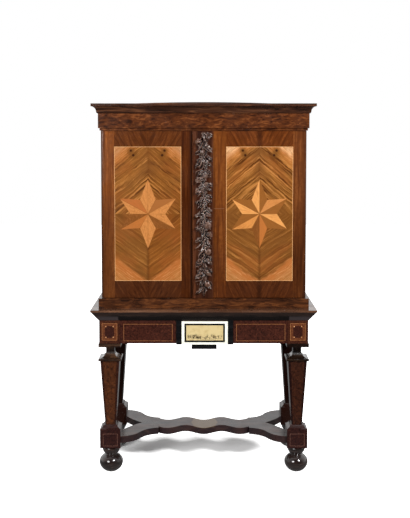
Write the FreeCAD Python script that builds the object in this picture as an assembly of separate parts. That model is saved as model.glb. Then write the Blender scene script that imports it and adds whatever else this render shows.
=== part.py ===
import FreeCAD
import Part
import math
import os

# Two-door cabinet on a stand: millimetres, X to the right, Y to the back, Z up from the floor.
# Y is zero halfway through the depth of the stand's top board.

# Whole piece
body_width = 1030
top_depth = 520
frame_side_projection = 12
top_side_projection = 51

# Stand: feet, legs and frame
frame_projection = 14
post_width = 104
post_height = 168
foot_height = 133
bun_radius = 60
bun_centre_height = 50
bun_lower_reach = 53
bun_upper_reach = 46
bun_curve_steps = 8
foot_neck_radius = 30
foot_neck_height = 92
foot_cup_radius = 45
foot_cup_edge = 118
foot_cup_sag = 3
foot_lip_height = 9
foot_collar_radius = 39
spigot_radius = 14
spigot_length = 40
block_height = 98
shoulder_height = 18
shoulder_top_width = 66
shoulder_sag = 3
shaft_height = 334
shaft_bottom_width = 54
shaft_top_width = 96
dowel_radius = 12
dowel_length = 45
dowel_clearance = 0.2
capital_lip_width = 114
capital_lip_height = 9
capital_step = 3
capital_flare_start = 11
capital_flare_height = 30
capital_neck_width = 42
capital_neck_height = 16
capital_hollow = 14
capital_sag_share = 0.19
abacus_width = 112
abacus_height = 18
rail_thickness = 24
rail_inset = 4
tenon_length = 28
tenon_thickness = 8
tenon_shoulder = 20
tenon_clearance = 0.1

# Stretcher
stretcher_rise = 22
stretcher_thickness = 34
plank_width = 134
plank_wave_depth = 23
plank_wave_share = 0.4
plank_wave_offset = 4
plank_curve_steps = 28
fork_length = 185
fork_root_width = 166
fork_arm_width = 106
fork_arm_inset = 18
fork_gap_depth = 94
fork_curve_sag = 15
fork_gap_sag = 6

# Stand top
top_overhang = 61
top_thickness = 10
top_moulding_height = 49
top_moulding_foot = 2
top_moulding_lip = 1

# Frieze drawer
drawer_centre_x = 5
drawer_opening_width = 206
drawer_sill_height = 8
drawer_head_height = 58
drawer_front_thickness = 20
drawer_side_thickness = 9
drawer_bottom_thickness = 6
drawer_depth = 300
drawer_clearance = 1
face_gap = 0.3
ivory_side_lap = 13
ivory_top_lap = 5
ivory_drop = 3
lip_thickness = 8
ivory_thickness = 4
ivory_side_band = 14
ivory_top_band = 11.5
border_band = 9
border_recess = 1
plaque_recess = 1.5
strip_width = 27
strip_thickness = 8
strip_drop = 4
strip_clearance = 0.5
pull_end_distance = 52.5
pull_height = 23
pull_centre_shift = -3
pull_bevel = 4
runner_width = 30
guide_width = 10
guide_height = 24
kicker_height = 12

# Cabinet body
board_thickness = 22
side_setback = 1
plinth_height = 51
plinth_projection = 14
door_height = 840.5
door_foot_gap = 2
door_head_gap = 1.5
door_overlap = 18
frieze_projection = 12
frieze_side_projection = 11.5
frieze_height = 73
frieze_step_height = 12
frieze_step_depth = 7
cornice_height = 44
cornice_projection = 32
cornice_lip_height = 9
cornice_bead_height = 10
cornice_bead_depth = 8
cornice_bead_sag = 2.5
cornice_cove_end = 30
cornice_cove_sag = 6
top_board_thickness = 5
crown_rise = 6
crown_span_share = 0.64
back_thickness = 10
back_board_count = 5
back_rebate = 10
shelf_count = 2
shelf_thickness = 18
shelf_setback = 38
shelf_side_gap = 0.5
batten_width = 18
batten_setback = 12
batten_height = 24

# Doors
door_thickness = 24
meeting_line_x = -57.5
meeting_gap = 1.5
panel_spacing = 225
outer_stile_width = 67.5
top_rail_height = 78.5
bottom_rail_height = 86
veneer_thickness = 2
panel_thickness = 20
star_tip_share = 0.2574
star_side_share = 0.4179
star_side_height_share = 0.1154
star_notch_share = 0.1179
star_notch_height_share = 0.105
star_waist_share = 0.2597
pin_radius = 4
pin_seat = 30
pin_reach = 14
pin_clearance = 0.05
pin_end_gap = 1
collar_radius = 8
collar_gap = 0.3

# Strip on the meeting edge and its carving
meeting_strip_width = 103
meeting_strip_inset = 2
meeting_strip_thickness = 12
carving_edge_distance = 5.5
carving_width = 84
carving_end_gap = 3.25
carving_relief = 21
carving_ridge = 9
carving_fruit_count = 24
keyhole_radius = 3
keyhole_slot_width = 3
keyhole_slot_height = 10
keyhole_edge_distance = 7

# Lock and bolts
lock_width = 88
lock_height = 80
lock_depth = 14
lock_plate = 4
lock_edge_distance = 4
lock_bolt_height = 14
lock_bolt_thickness = 6
lock_bolt_length = 60
lock_bolt_clearance = 0.4
keeper_width = 18
keeper_height = 34
keeper_gap = 2
rod_radius = 4
rod_length = 130
rod_stile_distance = 27
rod_axis_distance = 9
rod_end_gap = 2
rod_travel = 18
rod_clearance = 0.05
rod_mortise_clearance = 0.6
rod_mortise_spare = 2
guide_block_width = 20
guide_block_length = 12
guide_block_depth = 16
guide_end_distance = 22
knob_radius = 6
knob_length = 16

# Levels, from the floor upward
block_bottom = foot_height
block_top = block_bottom + block_height
stretcher_bottom = block_bottom + stretcher_rise
stretcher_top = stretcher_bottom + stretcher_thickness
shaft_bottom = block_top + shoulder_height
shaft_top = shaft_bottom + shaft_height
capital_neck_bottom = capital_flare_start + capital_flare_height
capital_neck_top = capital_neck_bottom + capital_neck_height
abacus_bottom = shaft_top + capital_neck_top + capital_hollow
post_bottom = abacus_bottom + abacus_height
post_top = post_bottom + post_height
top_surface = post_top + top_thickness
plinth_top = top_surface + plinth_height
door_bottom = plinth_top + door_foot_gap
door_top = door_bottom + door_height
frieze_bottom = door_top + door_head_gap
frieze_top = frieze_bottom + frieze_step_height + frieze_height
cornice_top = frieze_top + cornice_height
floor_board_top = door_bottom + door_overlap
ceiling_board_bottom = door_top - door_overlap
panel_bottom = door_bottom + bottom_rail_height
panel_top = door_top - top_rail_height
panel_middle = (panel_bottom + panel_top) / 2

# Places across the width and depth
frame_width = body_width + 2 * frame_side_projection
top_width = body_width + 2 * top_side_projection
top_front = -top_depth / 2
back_face = top_depth / 2
door_face = top_front + top_overhang
frame_front = door_face - frame_projection
leg_x = (frame_width - post_width) / 2
front_leg_y = frame_front + post_width / 2
back_leg_y = back_face - bun_radius
frame_back = back_leg_y + post_width / 2
leg_middle_y = (front_leg_y + back_leg_y) / 2
block_face = leg_x - post_width / 2
fork_root_x = block_face - fork_length
body_half = body_width / 2
inner_half = body_half - board_thickness
frieze_half = body_half + frieze_side_projection
frieze_front = door_face - frieze_projection
pivot_x = body_half - door_thickness / 2
pivot_y = door_face + door_thickness / 2
door_back = door_face + door_thickness
carcase_front = door_back + side_setback
rail_front = frame_front + rail_inset
rail_back = rail_front + rail_thickness
drawer_left = drawer_centre_x - drawer_opening_width / 2
drawer_right = drawer_centre_x + drawer_opening_width / 2
drawer_floor = post_bottom + drawer_sill_height
drawer_ceiling = post_top - drawer_head_height
ivory_width = drawer_opening_width + 2 * ivory_side_lap
ivory_bottom = post_bottom - ivory_drop
ivory_top = drawer_ceiling + ivory_top_lap
ivory_middle = (ivory_bottom + ivory_top) / 2
panel_width = (body_width - panel_spacing) / 2 - outer_stile_width
panel_height = panel_top - panel_bottom
panel_centre_x = (panel_spacing + panel_width) / 2
left_door_edge = meeting_line_x - meeting_gap / 2
right_door_edge = meeting_line_x + meeting_gap / 2
rod_x = left_door_edge - rod_stile_distance
rod_y = door_back + rod_axis_distance
bottom_rod_span = (floor_board_top + rod_end_gap, floor_board_top + rod_end_gap + rod_length)
top_rod_span = (ceiling_board_bottom - rod_end_gap - rod_length, ceiling_board_bottom - rod_end_gap)

up = FreeCAD.Vector(0, 0, 1)
origin = FreeCAD.Vector(0, 0, 0)
right = FreeCAD.Vector(1, 0, 0)
backward = FreeCAD.Vector(0, 1, 0)


def box(x_low, x_high, y_low, y_high, z_low, z_high):
    corner = FreeCAD.Vector(x_low, y_low, z_low)
    return Part.makeBox(x_high - x_low, y_high - y_low, z_high - z_low, corner)


def cylinder(radius, x, y, z_low, z_high):
    return Part.makeCylinder(radius, z_high - z_low, FreeCAD.Vector(x, y, z_low), up)


def mirrored(shape):
    return shape.mirror(origin, right)


def level_plane(u, v):
    return FreeCAD.Vector(u, v, 0)


def front_plane(u, v):
    return FreeCAD.Vector(u, 0, v)


def side_plane(u, v):
    return FreeCAD.Vector(0, u, v)


def outline_edges(path, plane):
    """Edges through points (u, v) or (u, v, sag), where sag bulges the edge that ends there."""
    edges = []
    for start, end in zip(path[:-1], path[1:]):
        first = plane(start[0], start[1])
        last = plane(end[0], end[1])
        if len(end) == 2:
            edges.append(Part.LineSegment(first, last).toShape())
            continue
        run_u = end[0] - start[0]
        run_v = end[1] - start[1]
        run = math.hypot(run_u, run_v)
        middle_u = (start[0] + end[0]) / 2 + end[2] * run_v / run
        middle_v = (start[1] + end[1]) / 2 - end[2] * run_u / run
        edges.append(Part.Arc(first, plane(middle_u, middle_v), last).toShape())
    return edges


def outline_face(path, plane):
    return Part.Face(Part.Wire(outline_edges(path + [path[0]], plane)))


def symmetric_outline(side):
    """Whole outline from its right-hand side, listed upward."""
    path = list(side)
    path.append((-side[-1][0], side[-1][1]))
    for lower, upper in zip(side[-2::-1], side[:0:-1]):
        path.append((-lower[0], lower[1]) + tuple(upper[2:]))
    return path


def square_turned(side, x, y, base):
    """Square piece whose half width follows side, a list of (half width, height) from the base."""
    outline = symmetric_outline(side)
    reach = max(point[0] for point in side)
    across = outline_face(outline, front_plane)
    across.translate(backward * -reach)
    along = outline_face(outline, side_plane)
    along.translate(right * -reach)
    solid = across.extrude(backward * (2 * reach)).common(along.extrude(right * (2 * reach)))
    solid.translate(FreeCAD.Vector(x, y, base))
    return solid


def surround(profile, side_x, front_y, inner_x, inner_y):
    """Front and two mitred side pieces with a profile of (outward, height) round the cabinet."""
    reach = max(point[0] for point in profile)
    corner_x = side_x + reach
    corner_y = front_y - reach
    turn_y = corner_y + corner_x - inner_x
    front_path = [(inner_y, profile[0][1])]
    side_path = [(inner_x, profile[0][1])]
    for point in profile:
        front_path.append((front_y - point[0], point[1]) + tuple(-sag for sag in point[2:]))
        side_path.append((side_x + point[0],) + tuple(point[1:]))
    front_path.append((inner_y, profile[-1][1]))
    side_path.append((inner_x, profile[-1][1]))
    low = profile[0][1]
    high = profile[-1][1]
    front = outline_face(front_path, side_plane)
    front.translate(right * -corner_x)
    front = front.extrude(right * (2 * corner_x))
    side = outline_face(side_path, front_plane)
    side.translate(backward * corner_y)
    side = side.extrude(backward * (back_face - corner_y))
    front_plan = [(-inner_x, turn_y), (-corner_x, corner_y), (corner_x, corner_y), (inner_x, turn_y)]
    if inner_y > turn_y:
        front_plan += [(inner_x, inner_y), (-inner_x, inner_y)]
    side_plan = [(inner_x, turn_y), (corner_x, corner_y), (corner_x, back_face), (inner_x, back_face)]
    front = front.common(level_prism(front_plan, low, high))
    side = side.common(level_prism(side_plan, low, high))
    return [front, mirrored(side), side]


def level_prism(path, z_low, z_high):
    face = outline_face(path, level_plane)
    face.translate(up * z_low)
    return face.extrude(up * (z_high - z_low))


def front_prism(path, y_low, y_high):
    face = outline_face(path, front_plane)
    face.translate(backward * y_low)
    return face.extrude(backward * (y_high - y_low))


def mitred_frame(x, z, outer, inner, y_low, y_high):
    """Four mitred strips round (x, z), with outer and inner given as half width and half height."""
    corners = [(-1, -1), (1, -1), (1, 1), (-1, 1)]
    strips = []
    for start, end in zip(corners, corners[1:] + corners[:1]):
        path = [
            (x + start[0] * outer[0], z + start[1] * outer[1]),
            (x + end[0] * outer[0], z + end[1] * outer[1]),
            (x + end[0] * inner[0], z + end[1] * inner[1]),
            (x + start[0] * inner[0], z + start[1] * inner[1]),
        ]
        strips.append(front_prism(path, y_low, y_high))
    return strips


def leg_places():
    return {
        "front_left": (-leg_x, front_leg_y),
        "front_right": (leg_x, front_leg_y),
        "back_left": (-leg_x, back_leg_y),
        "back_right": (leg_x, back_leg_y),
    }


# Stand

def bun_curve():
    """Profile of the flattened ball: one curve from its flat base over its widest place to the neck."""
    lowest = -math.asin(bun_centre_height / bun_lower_reach)
    highest = math.acos(foot_neck_radius / bun_radius)
    points = []
    for step in range(bun_curve_steps):
        angle = lowest * (1 - step / bun_curve_steps)
        height = bun_centre_height + bun_lower_reach * math.sin(angle)
        points.append(front_plane(bun_radius * math.cos(angle), height))
    for step in range(bun_curve_steps + 1):
        angle = highest * step / bun_curve_steps
        height = bun_centre_height + bun_upper_reach * math.sin(angle)
        points.append(front_plane(bun_radius * math.cos(angle), height))
    curve = Part.BSplineCurve()
    curve.interpolate(points)
    return curve, points[0], points[-1]


def bun_foot(x, y):
    """Turned foot: a flattened ball, a neck, a cup with a straight lip, a short collar and a spigot."""
    curve, base, neck_start = bun_curve()
    neck = [
        (foot_neck_radius, neck_start.z),
        (foot_neck_radius, foot_neck_height),
        (foot_cup_radius, foot_cup_edge, foot_cup_sag),
        (foot_cup_radius, foot_cup_edge + foot_lip_height),
        (foot_collar_radius, foot_cup_edge + foot_lip_height),
        (foot_collar_radius, foot_height),
        (spigot_radius, foot_height),
        (spigot_radius, foot_height + spigot_length),
        (0, foot_height + spigot_length),
        (0, 0),
        (base.x, 0),
    ]
    wire = Part.Wire([curve.toShape()] + outline_edges(neck, front_plane))
    foot = Part.Face(wire).revolve(origin, up, 360)
    foot.translate(FreeCAD.Vector(x, y, 0))
    return foot


def leg_block(x, y):
    """Block that takes the foot from below, the leg from above and a stretcher arm at its side."""
    half = post_width / 2
    side = [
        (half, 0),
        (half, block_height),
        (shoulder_top_width / 2, block_height + shoulder_height, -shoulder_sag),
    ]
    block = square_turned(side, x, y, block_bottom)
    spigot_hole = cylinder(spigot_radius + dowel_clearance, x, y, block_bottom, block_bottom + spigot_length)
    dowel_hole = cylinder(dowel_radius + dowel_clearance, x, y, shaft_bottom - dowel_length, shaft_bottom)
    return block.cut(spigot_hole).cut(dowel_hole)


def leg_shaft(x, y):
    """Square tapered leg with a dowel at each end."""
    side = [(shaft_bottom_width / 2, 0), (shaft_top_width / 2, shaft_height)]
    shaft = square_turned(side, x, y, shaft_bottom)
    dowel = cylinder(dowel_radius, x, y, shaft_bottom - dowel_length, post_bottom + dowel_length)
    return shaft.fuse(dowel).removeSplitter()


def leg_capital(x, y):
    """Square capital: a lip, a hollow flare, a narrow neck, a second hollow and an abacus under the post."""
    lip_half = capital_lip_width / 2
    flare_half = lip_half - capital_step
    neck_half = capital_neck_width / 2
    flare_sag = capital_sag_share * math.hypot(flare_half - neck_half, capital_flare_height)
    hollow_sag = capital_sag_share * math.hypot(capital_hollow, capital_hollow)
    abacus_level = capital_neck_top + capital_hollow
    side = [
        (lip_half, 0),
        (lip_half, capital_lip_height),
        (flare_half, capital_flare_start),
        (neck_half, capital_neck_bottom, -flare_sag),
        (neck_half, capital_neck_top),
        (neck_half + capital_hollow, abacus_level, -hollow_sag),
        (abacus_width / 2, abacus_level),
        (abacus_width / 2, abacus_level + abacus_height),
    ]
    capital = square_turned(side, x, y, shaft_top)
    return capital.cut(cylinder(dowel_radius + dowel_clearance, x, y, shaft_top, post_bottom))


def tenon_span(middle, clearance):
    half = tenon_thickness / 2 + clearance
    return middle - half, middle + half


def corner_post(x, y):
    """Post with a mortise for each of its two rails and a bore for the leg's dowel."""
    half = post_width / 2
    post = box(x - half, x + half, y - half, y + half, post_bottom, post_top)
    post = post.cut(cylinder(dowel_radius + dowel_clearance, x, y, post_bottom, post_bottom + dowel_length))
    z_low = post_bottom + tenon_shoulder - tenon_clearance
    z_high = post_top - tenon_shoulder + tenon_clearance
    depth = tenon_length + tenon_clearance
    inward_x = -math.copysign(1, x)
    inward_y = -math.copysign(1, y - leg_middle_y)
    rail_y = y - inward_y * (half - rail_inset - rail_thickness / 2)
    rail_x = x - inward_x * (half - rail_inset - rail_thickness / 2)
    face_x = x + inward_x * half
    face_y = y + inward_y * half
    ends_x = sorted([face_x, face_x - inward_x * depth])
    ends_y = sorted([face_y, face_y - inward_y * depth])
    post = post.cut(box(*ends_x, *tenon_span(rail_y, tenon_clearance), z_low, z_high))
    return post.cut(box(*tenon_span(rail_x, tenon_clearance), *ends_y, z_low, z_high))


def front_rails():
    rail_middle = (rail_front + rail_back) / 2
    tenon_low = post_bottom + tenon_shoulder
    tenon_high = post_top - tenon_shoulder
    rails = []
    for low, high, end, tip in (
        (-block_face, drawer_left, -block_face, -block_face - tenon_length),
        (drawer_right, block_face, block_face, block_face + tenon_length),
    ):
        rail = box(low, high, rail_front, rail_back, post_bottom, post_top)
        tenon = box(*sorted([end, tip]), *tenon_span(rail_middle, 0), tenon_low, tenon_high)
        rails.append(rail.fuse(tenon).removeSplitter())
    return rails


def drawer_rails():
    lower = box(drawer_left, drawer_right, rail_front, rail_back, post_bottom, drawer_floor)
    upper = box(drawer_left, drawer_right, rail_front, rail_back, drawer_ceiling, post_top)
    return [lower, upper]


def back_rail():
    rail_far = frame_back - rail_inset
    rail_near = rail_far - rail_thickness
    rail = box(-block_face, block_face, rail_near, rail_far, post_bottom, post_top)
    reach = block_face + tenon_length
    span = tenon_span((rail_near + rail_far) / 2, 0)
    tenon = box(-reach, reach, *span, post_bottom + tenon_shoulder, post_top - tenon_shoulder)
    return [rail.fuse(tenon).removeSplitter()]


def side_rails():
    rail_far = frame_width / 2 - rail_inset
    rail_near = rail_far - rail_thickness
    y_low = front_leg_y + post_width / 2
    y_high = back_leg_y - post_width / 2
    rail = box(rail_near, rail_far, y_low, y_high, post_bottom, post_top)
    span = tenon_span((rail_near + rail_far) / 2, 0)
    tenon_low = post_bottom + tenon_shoulder
    tenon_high = post_top - tenon_shoulder
    tenon = box(*span, y_low - tenon_length, y_high + tenon_length, tenon_low, tenon_high)
    rail = rail.fuse(tenon).removeSplitter()
    return [mirrored(rail), rail]


def stretcher_plank():
    """Serpentine plank whose two long edges follow one wave."""
    plank_length = 2 * fork_root_x
    edges = []
    ends = []
    for offset in (-plank_width / 2, plank_width / 2):
        points = []
        for step in range(plank_curve_steps + 1):
            x = -fork_root_x + plank_length * step / plank_curve_steps
            angle = 2 * math.pi * x / (plank_length * plank_wave_share)
            wave = plank_wave_offset - plank_wave_depth * math.cos(angle)
            points.append(level_plane(x, leg_middle_y + wave + offset))
        curve = Part.BSplineCurve()
        curve.interpolate(points)
        edges.append(curve.toShape())
        ends.append((points[0], points[-1]))
    edges.append(Part.LineSegment(ends[0][0], ends[1][0]).toShape())
    edges.append(Part.LineSegment(ends[0][1], ends[1][1]).toShape())
    face = Part.Face(Part.Wire(Part.__sortEdges__(edges)))
    face.translate(up * stretcher_bottom)
    return [face.extrude(up * stretcher_thickness)]


def stretcher_fork():
    """Right-hand fork as two curved arms that meet along its middle line."""
    root_y = fork_root_width / 2
    arm_middle = (back_leg_y - front_leg_y) / 2 - fork_arm_inset
    arm_outer = arm_middle + fork_arm_width / 2
    arm_inner = arm_middle - fork_arm_width / 2
    middle_x = (fork_root_x + block_face) / 2
    middle_y = (root_y + arm_outer) / 2
    path = [
        (fork_root_x, 0),
        (block_face - fork_gap_depth, 0),
        (block_face, arm_inner, fork_gap_sag),
        (block_face, arm_outer),
        (middle_x, middle_y, fork_curve_sag),
        (fork_root_x, root_y, -fork_curve_sag),
    ]
    back_arm = level_prism(path, stretcher_bottom, stretcher_top)
    front_arm = back_arm.mirror(origin, backward)
    arms = [front_arm, back_arm]
    for arm in arms:
        arm.translate(backward * leg_middle_y)
    return arms


def stand_top():
    return [box(-top_width / 2, top_width / 2, top_front, back_face, post_top, top_surface)]


def stand_top_moulding():
    """Sloping moulding under the overhang of the stand's top."""
    reach = top_width / 2 - frame_width / 2 - top_moulding_lip
    bottom = post_top - top_moulding_height
    profile = [(top_moulding_foot, bottom), (reach, post_top - top_moulding_lip), (reach, post_top)]
    return surround(profile, frame_width / 2, frame_front, frame_width / 2, frame_front)


def ebony_strips():
    z_low = post_bottom - strip_drop
    z_high = post_top - top_moulding_height
    y_low = rail_front - strip_thickness
    reach = ivory_width / 2 + strip_clearance
    strips = []
    for x_low in (drawer_centre_x - reach - strip_width, drawer_centre_x + reach):
        strips.append(box(x_low, x_low + strip_width, y_low, rail_front, z_low, z_high))
    return strips


def drawer_runners():
    """Runners that carry the drawer's sides, each with a guide along its outer edge."""
    y_high = frame_back - rail_inset - rail_thickness
    runner_top = drawer_floor + drawer_clearance - face_gap
    guide_top = drawer_floor + guide_height
    runners = []
    for edge, inward in ((drawer_left, 1), (drawer_right, -1)):
        bed = box(*sorted([edge, edge + inward * runner_width]), rail_back, y_high, post_bottom, runner_top)
        guide = box(*sorted([edge, edge - inward * guide_width]), rail_back, y_high, post_bottom, guide_top)
        runners.append(bed.fuse(guide).removeSplitter())
    return runners


def drawer_kickers():
    y_high = frame_back - rail_inset - rail_thickness
    kickers = []
    for edge, inward in ((drawer_left, 1), (drawer_right, -1)):
        span = sorted([edge, edge + inward * runner_width])
        kickers.append(box(*span, rail_back, y_high, drawer_ceiling, drawer_ceiling + kicker_height))
    return kickers


# Drawer

lip_back = rail_front - face_gap
lip_front = lip_back - lip_thickness
ivory_front = lip_front - ivory_thickness
drawer_box_front = lip_back + drawer_front_thickness
drawer_low = drawer_floor + drawer_clearance
drawer_high = drawer_ceiling - drawer_clearance
drawer_x_low = drawer_left + drawer_clearance
drawer_x_high = drawer_right - drawer_clearance


def drawer_front():
    core = box(drawer_x_low, drawer_x_high, lip_back, drawer_box_front, drawer_low, drawer_high)
    lip_left = drawer_centre_x - ivory_width / 2
    lip = box(lip_left, lip_left + ivory_width, lip_front, lip_back, ivory_bottom, ivory_top)
    return [core.fuse(lip).removeSplitter()]


def drawer_sides():
    sides = []
    for edge, inward in ((drawer_x_low, 1), (drawer_x_high, -1)):
        span = sorted([edge, edge + inward * drawer_side_thickness])
        sides.append(box(*span, drawer_box_front, drawer_box_front + drawer_depth, drawer_low, drawer_high))
    return sides


def drawer_back():
    y_high = drawer_box_front + drawer_depth
    x_low = drawer_x_low + drawer_side_thickness
    x_high = drawer_x_high - drawer_side_thickness
    return [box(x_low, x_high, y_high - drawer_side_thickness, y_high, drawer_low, drawer_high)]


def drawer_bottom():
    x_low = drawer_x_low + drawer_side_thickness
    x_high = drawer_x_high - drawer_side_thickness
    y_high = drawer_box_front + drawer_depth - drawer_side_thickness
    return [box(x_low, x_high, drawer_box_front, y_high, drawer_low, drawer_low + drawer_bottom_thickness)]


def ivory_half():
    return ivory_width / 2, (ivory_top - ivory_bottom) / 2


def border_half():
    half_width, half_height = ivory_half()
    return half_width - ivory_side_band, half_height - ivory_top_band


def plaque_half():
    half_width, half_height = border_half()
    return half_width - border_band, half_height - border_band


def ivory_frame():
    return mitred_frame(drawer_centre_x, ivory_middle, ivory_half(), border_half(), ivory_front, lip_front)


def plaque_border():
    y_low = ivory_front + border_recess
    return mitred_frame(drawer_centre_x, ivory_middle, border_half(), plaque_half(), y_low, lip_front)


def plaque():
    half_width, half_height = plaque_half()
    x = drawer_centre_x
    z = ivory_middle
    y_low = ivory_front + plaque_recess
    return [box(x - half_width, x + half_width, y_low, lip_front, z - half_height, z + half_height)]


def drawer_pull():
    """Bar hung under the drawer's lip, with a finger bevel along its back."""
    pull_width = ivory_width - 2 * pull_end_distance
    x_low = drawer_centre_x + pull_centre_shift - pull_width / 2
    z_low = ivory_bottom - pull_height
    side = [
        (ivory_front, z_low),
        (lip_back - pull_bevel, z_low),
        (lip_back, z_low + pull_bevel),
        (lip_back, ivory_bottom),
        (ivory_front, ivory_bottom),
    ]
    face = outline_face(side, side_plane)
    face.translate(right * x_low)
    return [face.extrude(right * pull_width)]


# Cabinet body

def pivot_bore(side, z_low, z_high):
    return cylinder(pin_radius + pin_clearance, side * pivot_x, pivot_y, z_low, z_high)


def plinth():
    profile = [(0, top_surface), (0, plinth_top)]
    half = body_half + plinth_projection
    pieces = surround(profile, half, door_face - plinth_projection, body_half, carcase_front)
    for side in (-1, 1):
        pieces[0] = pieces[0].cut(pivot_bore(side, plinth_top - pin_reach - pin_end_gap, plinth_top))
    return pieces


def frieze():
    """Flat frieze over the doors with a small step along its foot."""
    step_top = frieze_bottom + frieze_step_height
    profile = [
        (-frieze_step_depth, frieze_bottom),
        (-frieze_step_depth, step_top),
        (0, step_top),
        (0, frieze_top),
    ]
    pieces = surround(profile, frieze_half, frieze_front, body_half, carcase_front)
    for side in (-1, 1):
        pieces[0] = pieces[0].cut(pivot_bore(side, frieze_bottom, frieze_bottom + pin_reach + pin_end_gap))
    return pieces


def cornice():
    """Cornice with a bead, a cove and a square lip."""
    bead_top = frieze_top + cornice_bead_height
    lip_bottom = cornice_top - cornice_lip_height
    profile = [
        (0, frieze_top),
        (cornice_bead_depth, bead_top, cornice_bead_sag),
        (cornice_cove_end, lip_bottom, -cornice_cove_sag),
        (cornice_projection, lip_bottom),
        (cornice_projection, cornice_top),
    ]
    return surround(profile, frieze_half, frieze_front, body_half, carcase_front)


def top_board():
    """Top board with a shallow crown along its middle."""
    half = frieze_half + cornice_projection
    crown_half = body_width * crown_span_share / 2
    edge_top = cornice_top + top_board_thickness
    path = [
        (-half, cornice_top),
        (half, cornice_top),
        (half, edge_top),
        (crown_half, edge_top),
        (-crown_half, edge_top, crown_rise),
        (-half, edge_top),
    ]
    return [front_prism(path, frieze_front - cornice_projection, back_face)]


def carcase_side():
    side = box(inner_half, body_half, carcase_front, back_face, top_surface, cornice_top)
    y_low = back_face - back_thickness
    return side.cut(box(inner_half, inner_half + back_rebate, y_low, back_face, top_surface, cornice_top))


def carcase_board(z_low):
    y_high = back_face - back_thickness
    return box(-inner_half, inner_half, carcase_front, y_high, z_low, z_low + board_thickness)


def rod_mortise(z_low, z_high):
    """Square mortise that takes the end of a slide bolt."""
    half = rod_radius + rod_mortise_clearance
    return box(rod_x - half, rod_x + half, rod_y - half, rod_y + half, z_low, z_high)


def carcase_bottom():
    depth = rod_travel - rod_end_gap + rod_mortise_spare
    board = carcase_board(floor_board_top - board_thickness)
    return [board.cut(rod_mortise(floor_board_top - depth, floor_board_top))]


def carcase_top():
    depth = rod_travel - rod_end_gap + rod_mortise_spare
    board = carcase_board(ceiling_board_bottom)
    return [board.cut(rod_mortise(ceiling_board_bottom, ceiling_board_bottom + depth))]


def back_boards():
    half = inner_half + back_rebate
    width = 2 * half / back_board_count
    y_low = back_face - back_thickness
    boards = []
    for index in range(back_board_count):
        x_low = -half + width * index
        boards.append(box(x_low, x_low + width, y_low, back_face, top_surface, cornice_top))
    return boards


def shelf_levels():
    clear_height = ceiling_board_bottom - floor_board_top - shelf_count * shelf_thickness
    space = clear_height / (shelf_count + 1)
    return [floor_board_top + space + index * (space + shelf_thickness) for index in range(shelf_count)]


def shelves():
    half = inner_half - shelf_side_gap
    y_low = carcase_front + shelf_setback
    boards = []
    for level in shelf_levels():
        boards.append(box(-half, half, y_low, back_face - back_thickness, level, level + shelf_thickness))
    return boards


def shelf_battens():
    battens = []
    y_low = carcase_front + shelf_setback + batten_setback
    for level in shelf_levels():
        x_low = inner_half - batten_width
        batten = box(x_low, inner_half, y_low, back_face - back_thickness, level - batten_height, level)
        battens += [mirrored(batten), batten]
    return battens


# Doors

def door_frame(side, free_edge):
    """Two stiles and two rails, with the hanging edge rounded about the pivot."""
    panel_x = side * panel_centre_x
    panel_low = panel_x - panel_width / 2
    panel_high = panel_x + panel_width / 2
    hanging_span = sorted([side * pivot_x, panel_x + side * panel_width / 2])
    free_span = sorted([free_edge, panel_x - side * panel_width / 2])
    stile = box(*hanging_span, door_face, door_back, door_bottom, door_top)
    stile = stile.fuse(cylinder(door_thickness / 2, side * pivot_x, pivot_y, door_bottom, door_top))
    stile = stile.removeSplitter()
    pin_hole = pin_radius + pin_clearance
    stile = stile.cut(cylinder(pin_hole, side * pivot_x, pivot_y, door_bottom, door_bottom + pin_seat))
    stile = stile.cut(cylinder(pin_hole, side * pivot_x, pivot_y, door_top - pin_seat, door_top))
    free_stile = box(*free_span, door_face, door_back, door_bottom, door_top)
    top_rail = box(panel_low, panel_high, door_face, door_back, panel_top, door_top)
    bottom_rail = box(panel_low, panel_high, door_face, door_back, door_bottom, panel_bottom)
    return [stile, free_stile, top_rail, bottom_rail]


def door_panel(side):
    x_low = side * panel_centre_x - panel_width / 2
    y_low = door_face + veneer_thickness
    return [box(x_low, x_low + panel_width, y_low, door_face + panel_thickness, panel_bottom, panel_top)]


def star_points():
    """Tips and notches of the six-pointed star in turn, anticlockwise from the top tip."""
    notch = (panel_width * star_notch_share, panel_height * star_notch_height_share)
    side = (panel_width * star_side_share, panel_height * star_side_height_share)
    tip = panel_height * star_tip_share
    right_half = [
        (0, tip),
        notch,
        side,
        (panel_width * star_waist_share, 0),
        (side[0], -side[1]),
        (notch[0], -notch[1]),
        (0, -tip),
    ]
    left_half = [(-x, z) for x, z in right_half[1:-1]]
    return right_half[:1] + left_half + right_half[:0:-1]


def door_star(side):
    """Twelve kite halves, each from the centre to a tip and a notch."""
    x = side * panel_centre_x
    points = [(x + u, panel_middle + v) for u, v in star_points()]
    pieces = []
    for first, second in zip(points, points[1:] + points[:1]):
        path = [(x, panel_middle), first, second]
        pieces.append(front_prism(path, door_face, door_face + veneer_thickness))
    return pieces


def door_veneer(side):
    """Four matched quarters cut round the star."""
    x = side * panel_centre_x
    half = panel_width / 2
    depth = veneer_thickness
    star = front_prism([(x + u, panel_middle + v) for u, v in star_points()], door_face, door_face + depth)
    quarters = []
    for x_low in (x - half, x):
        for z_low, z_high in ((panel_bottom, panel_middle), (panel_middle, panel_top)):
            quarter = box(x_low, x_low + half, door_face, door_face + depth, z_low, z_high)
            quarters.append(quarter.cut(star))
    return quarters


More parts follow.
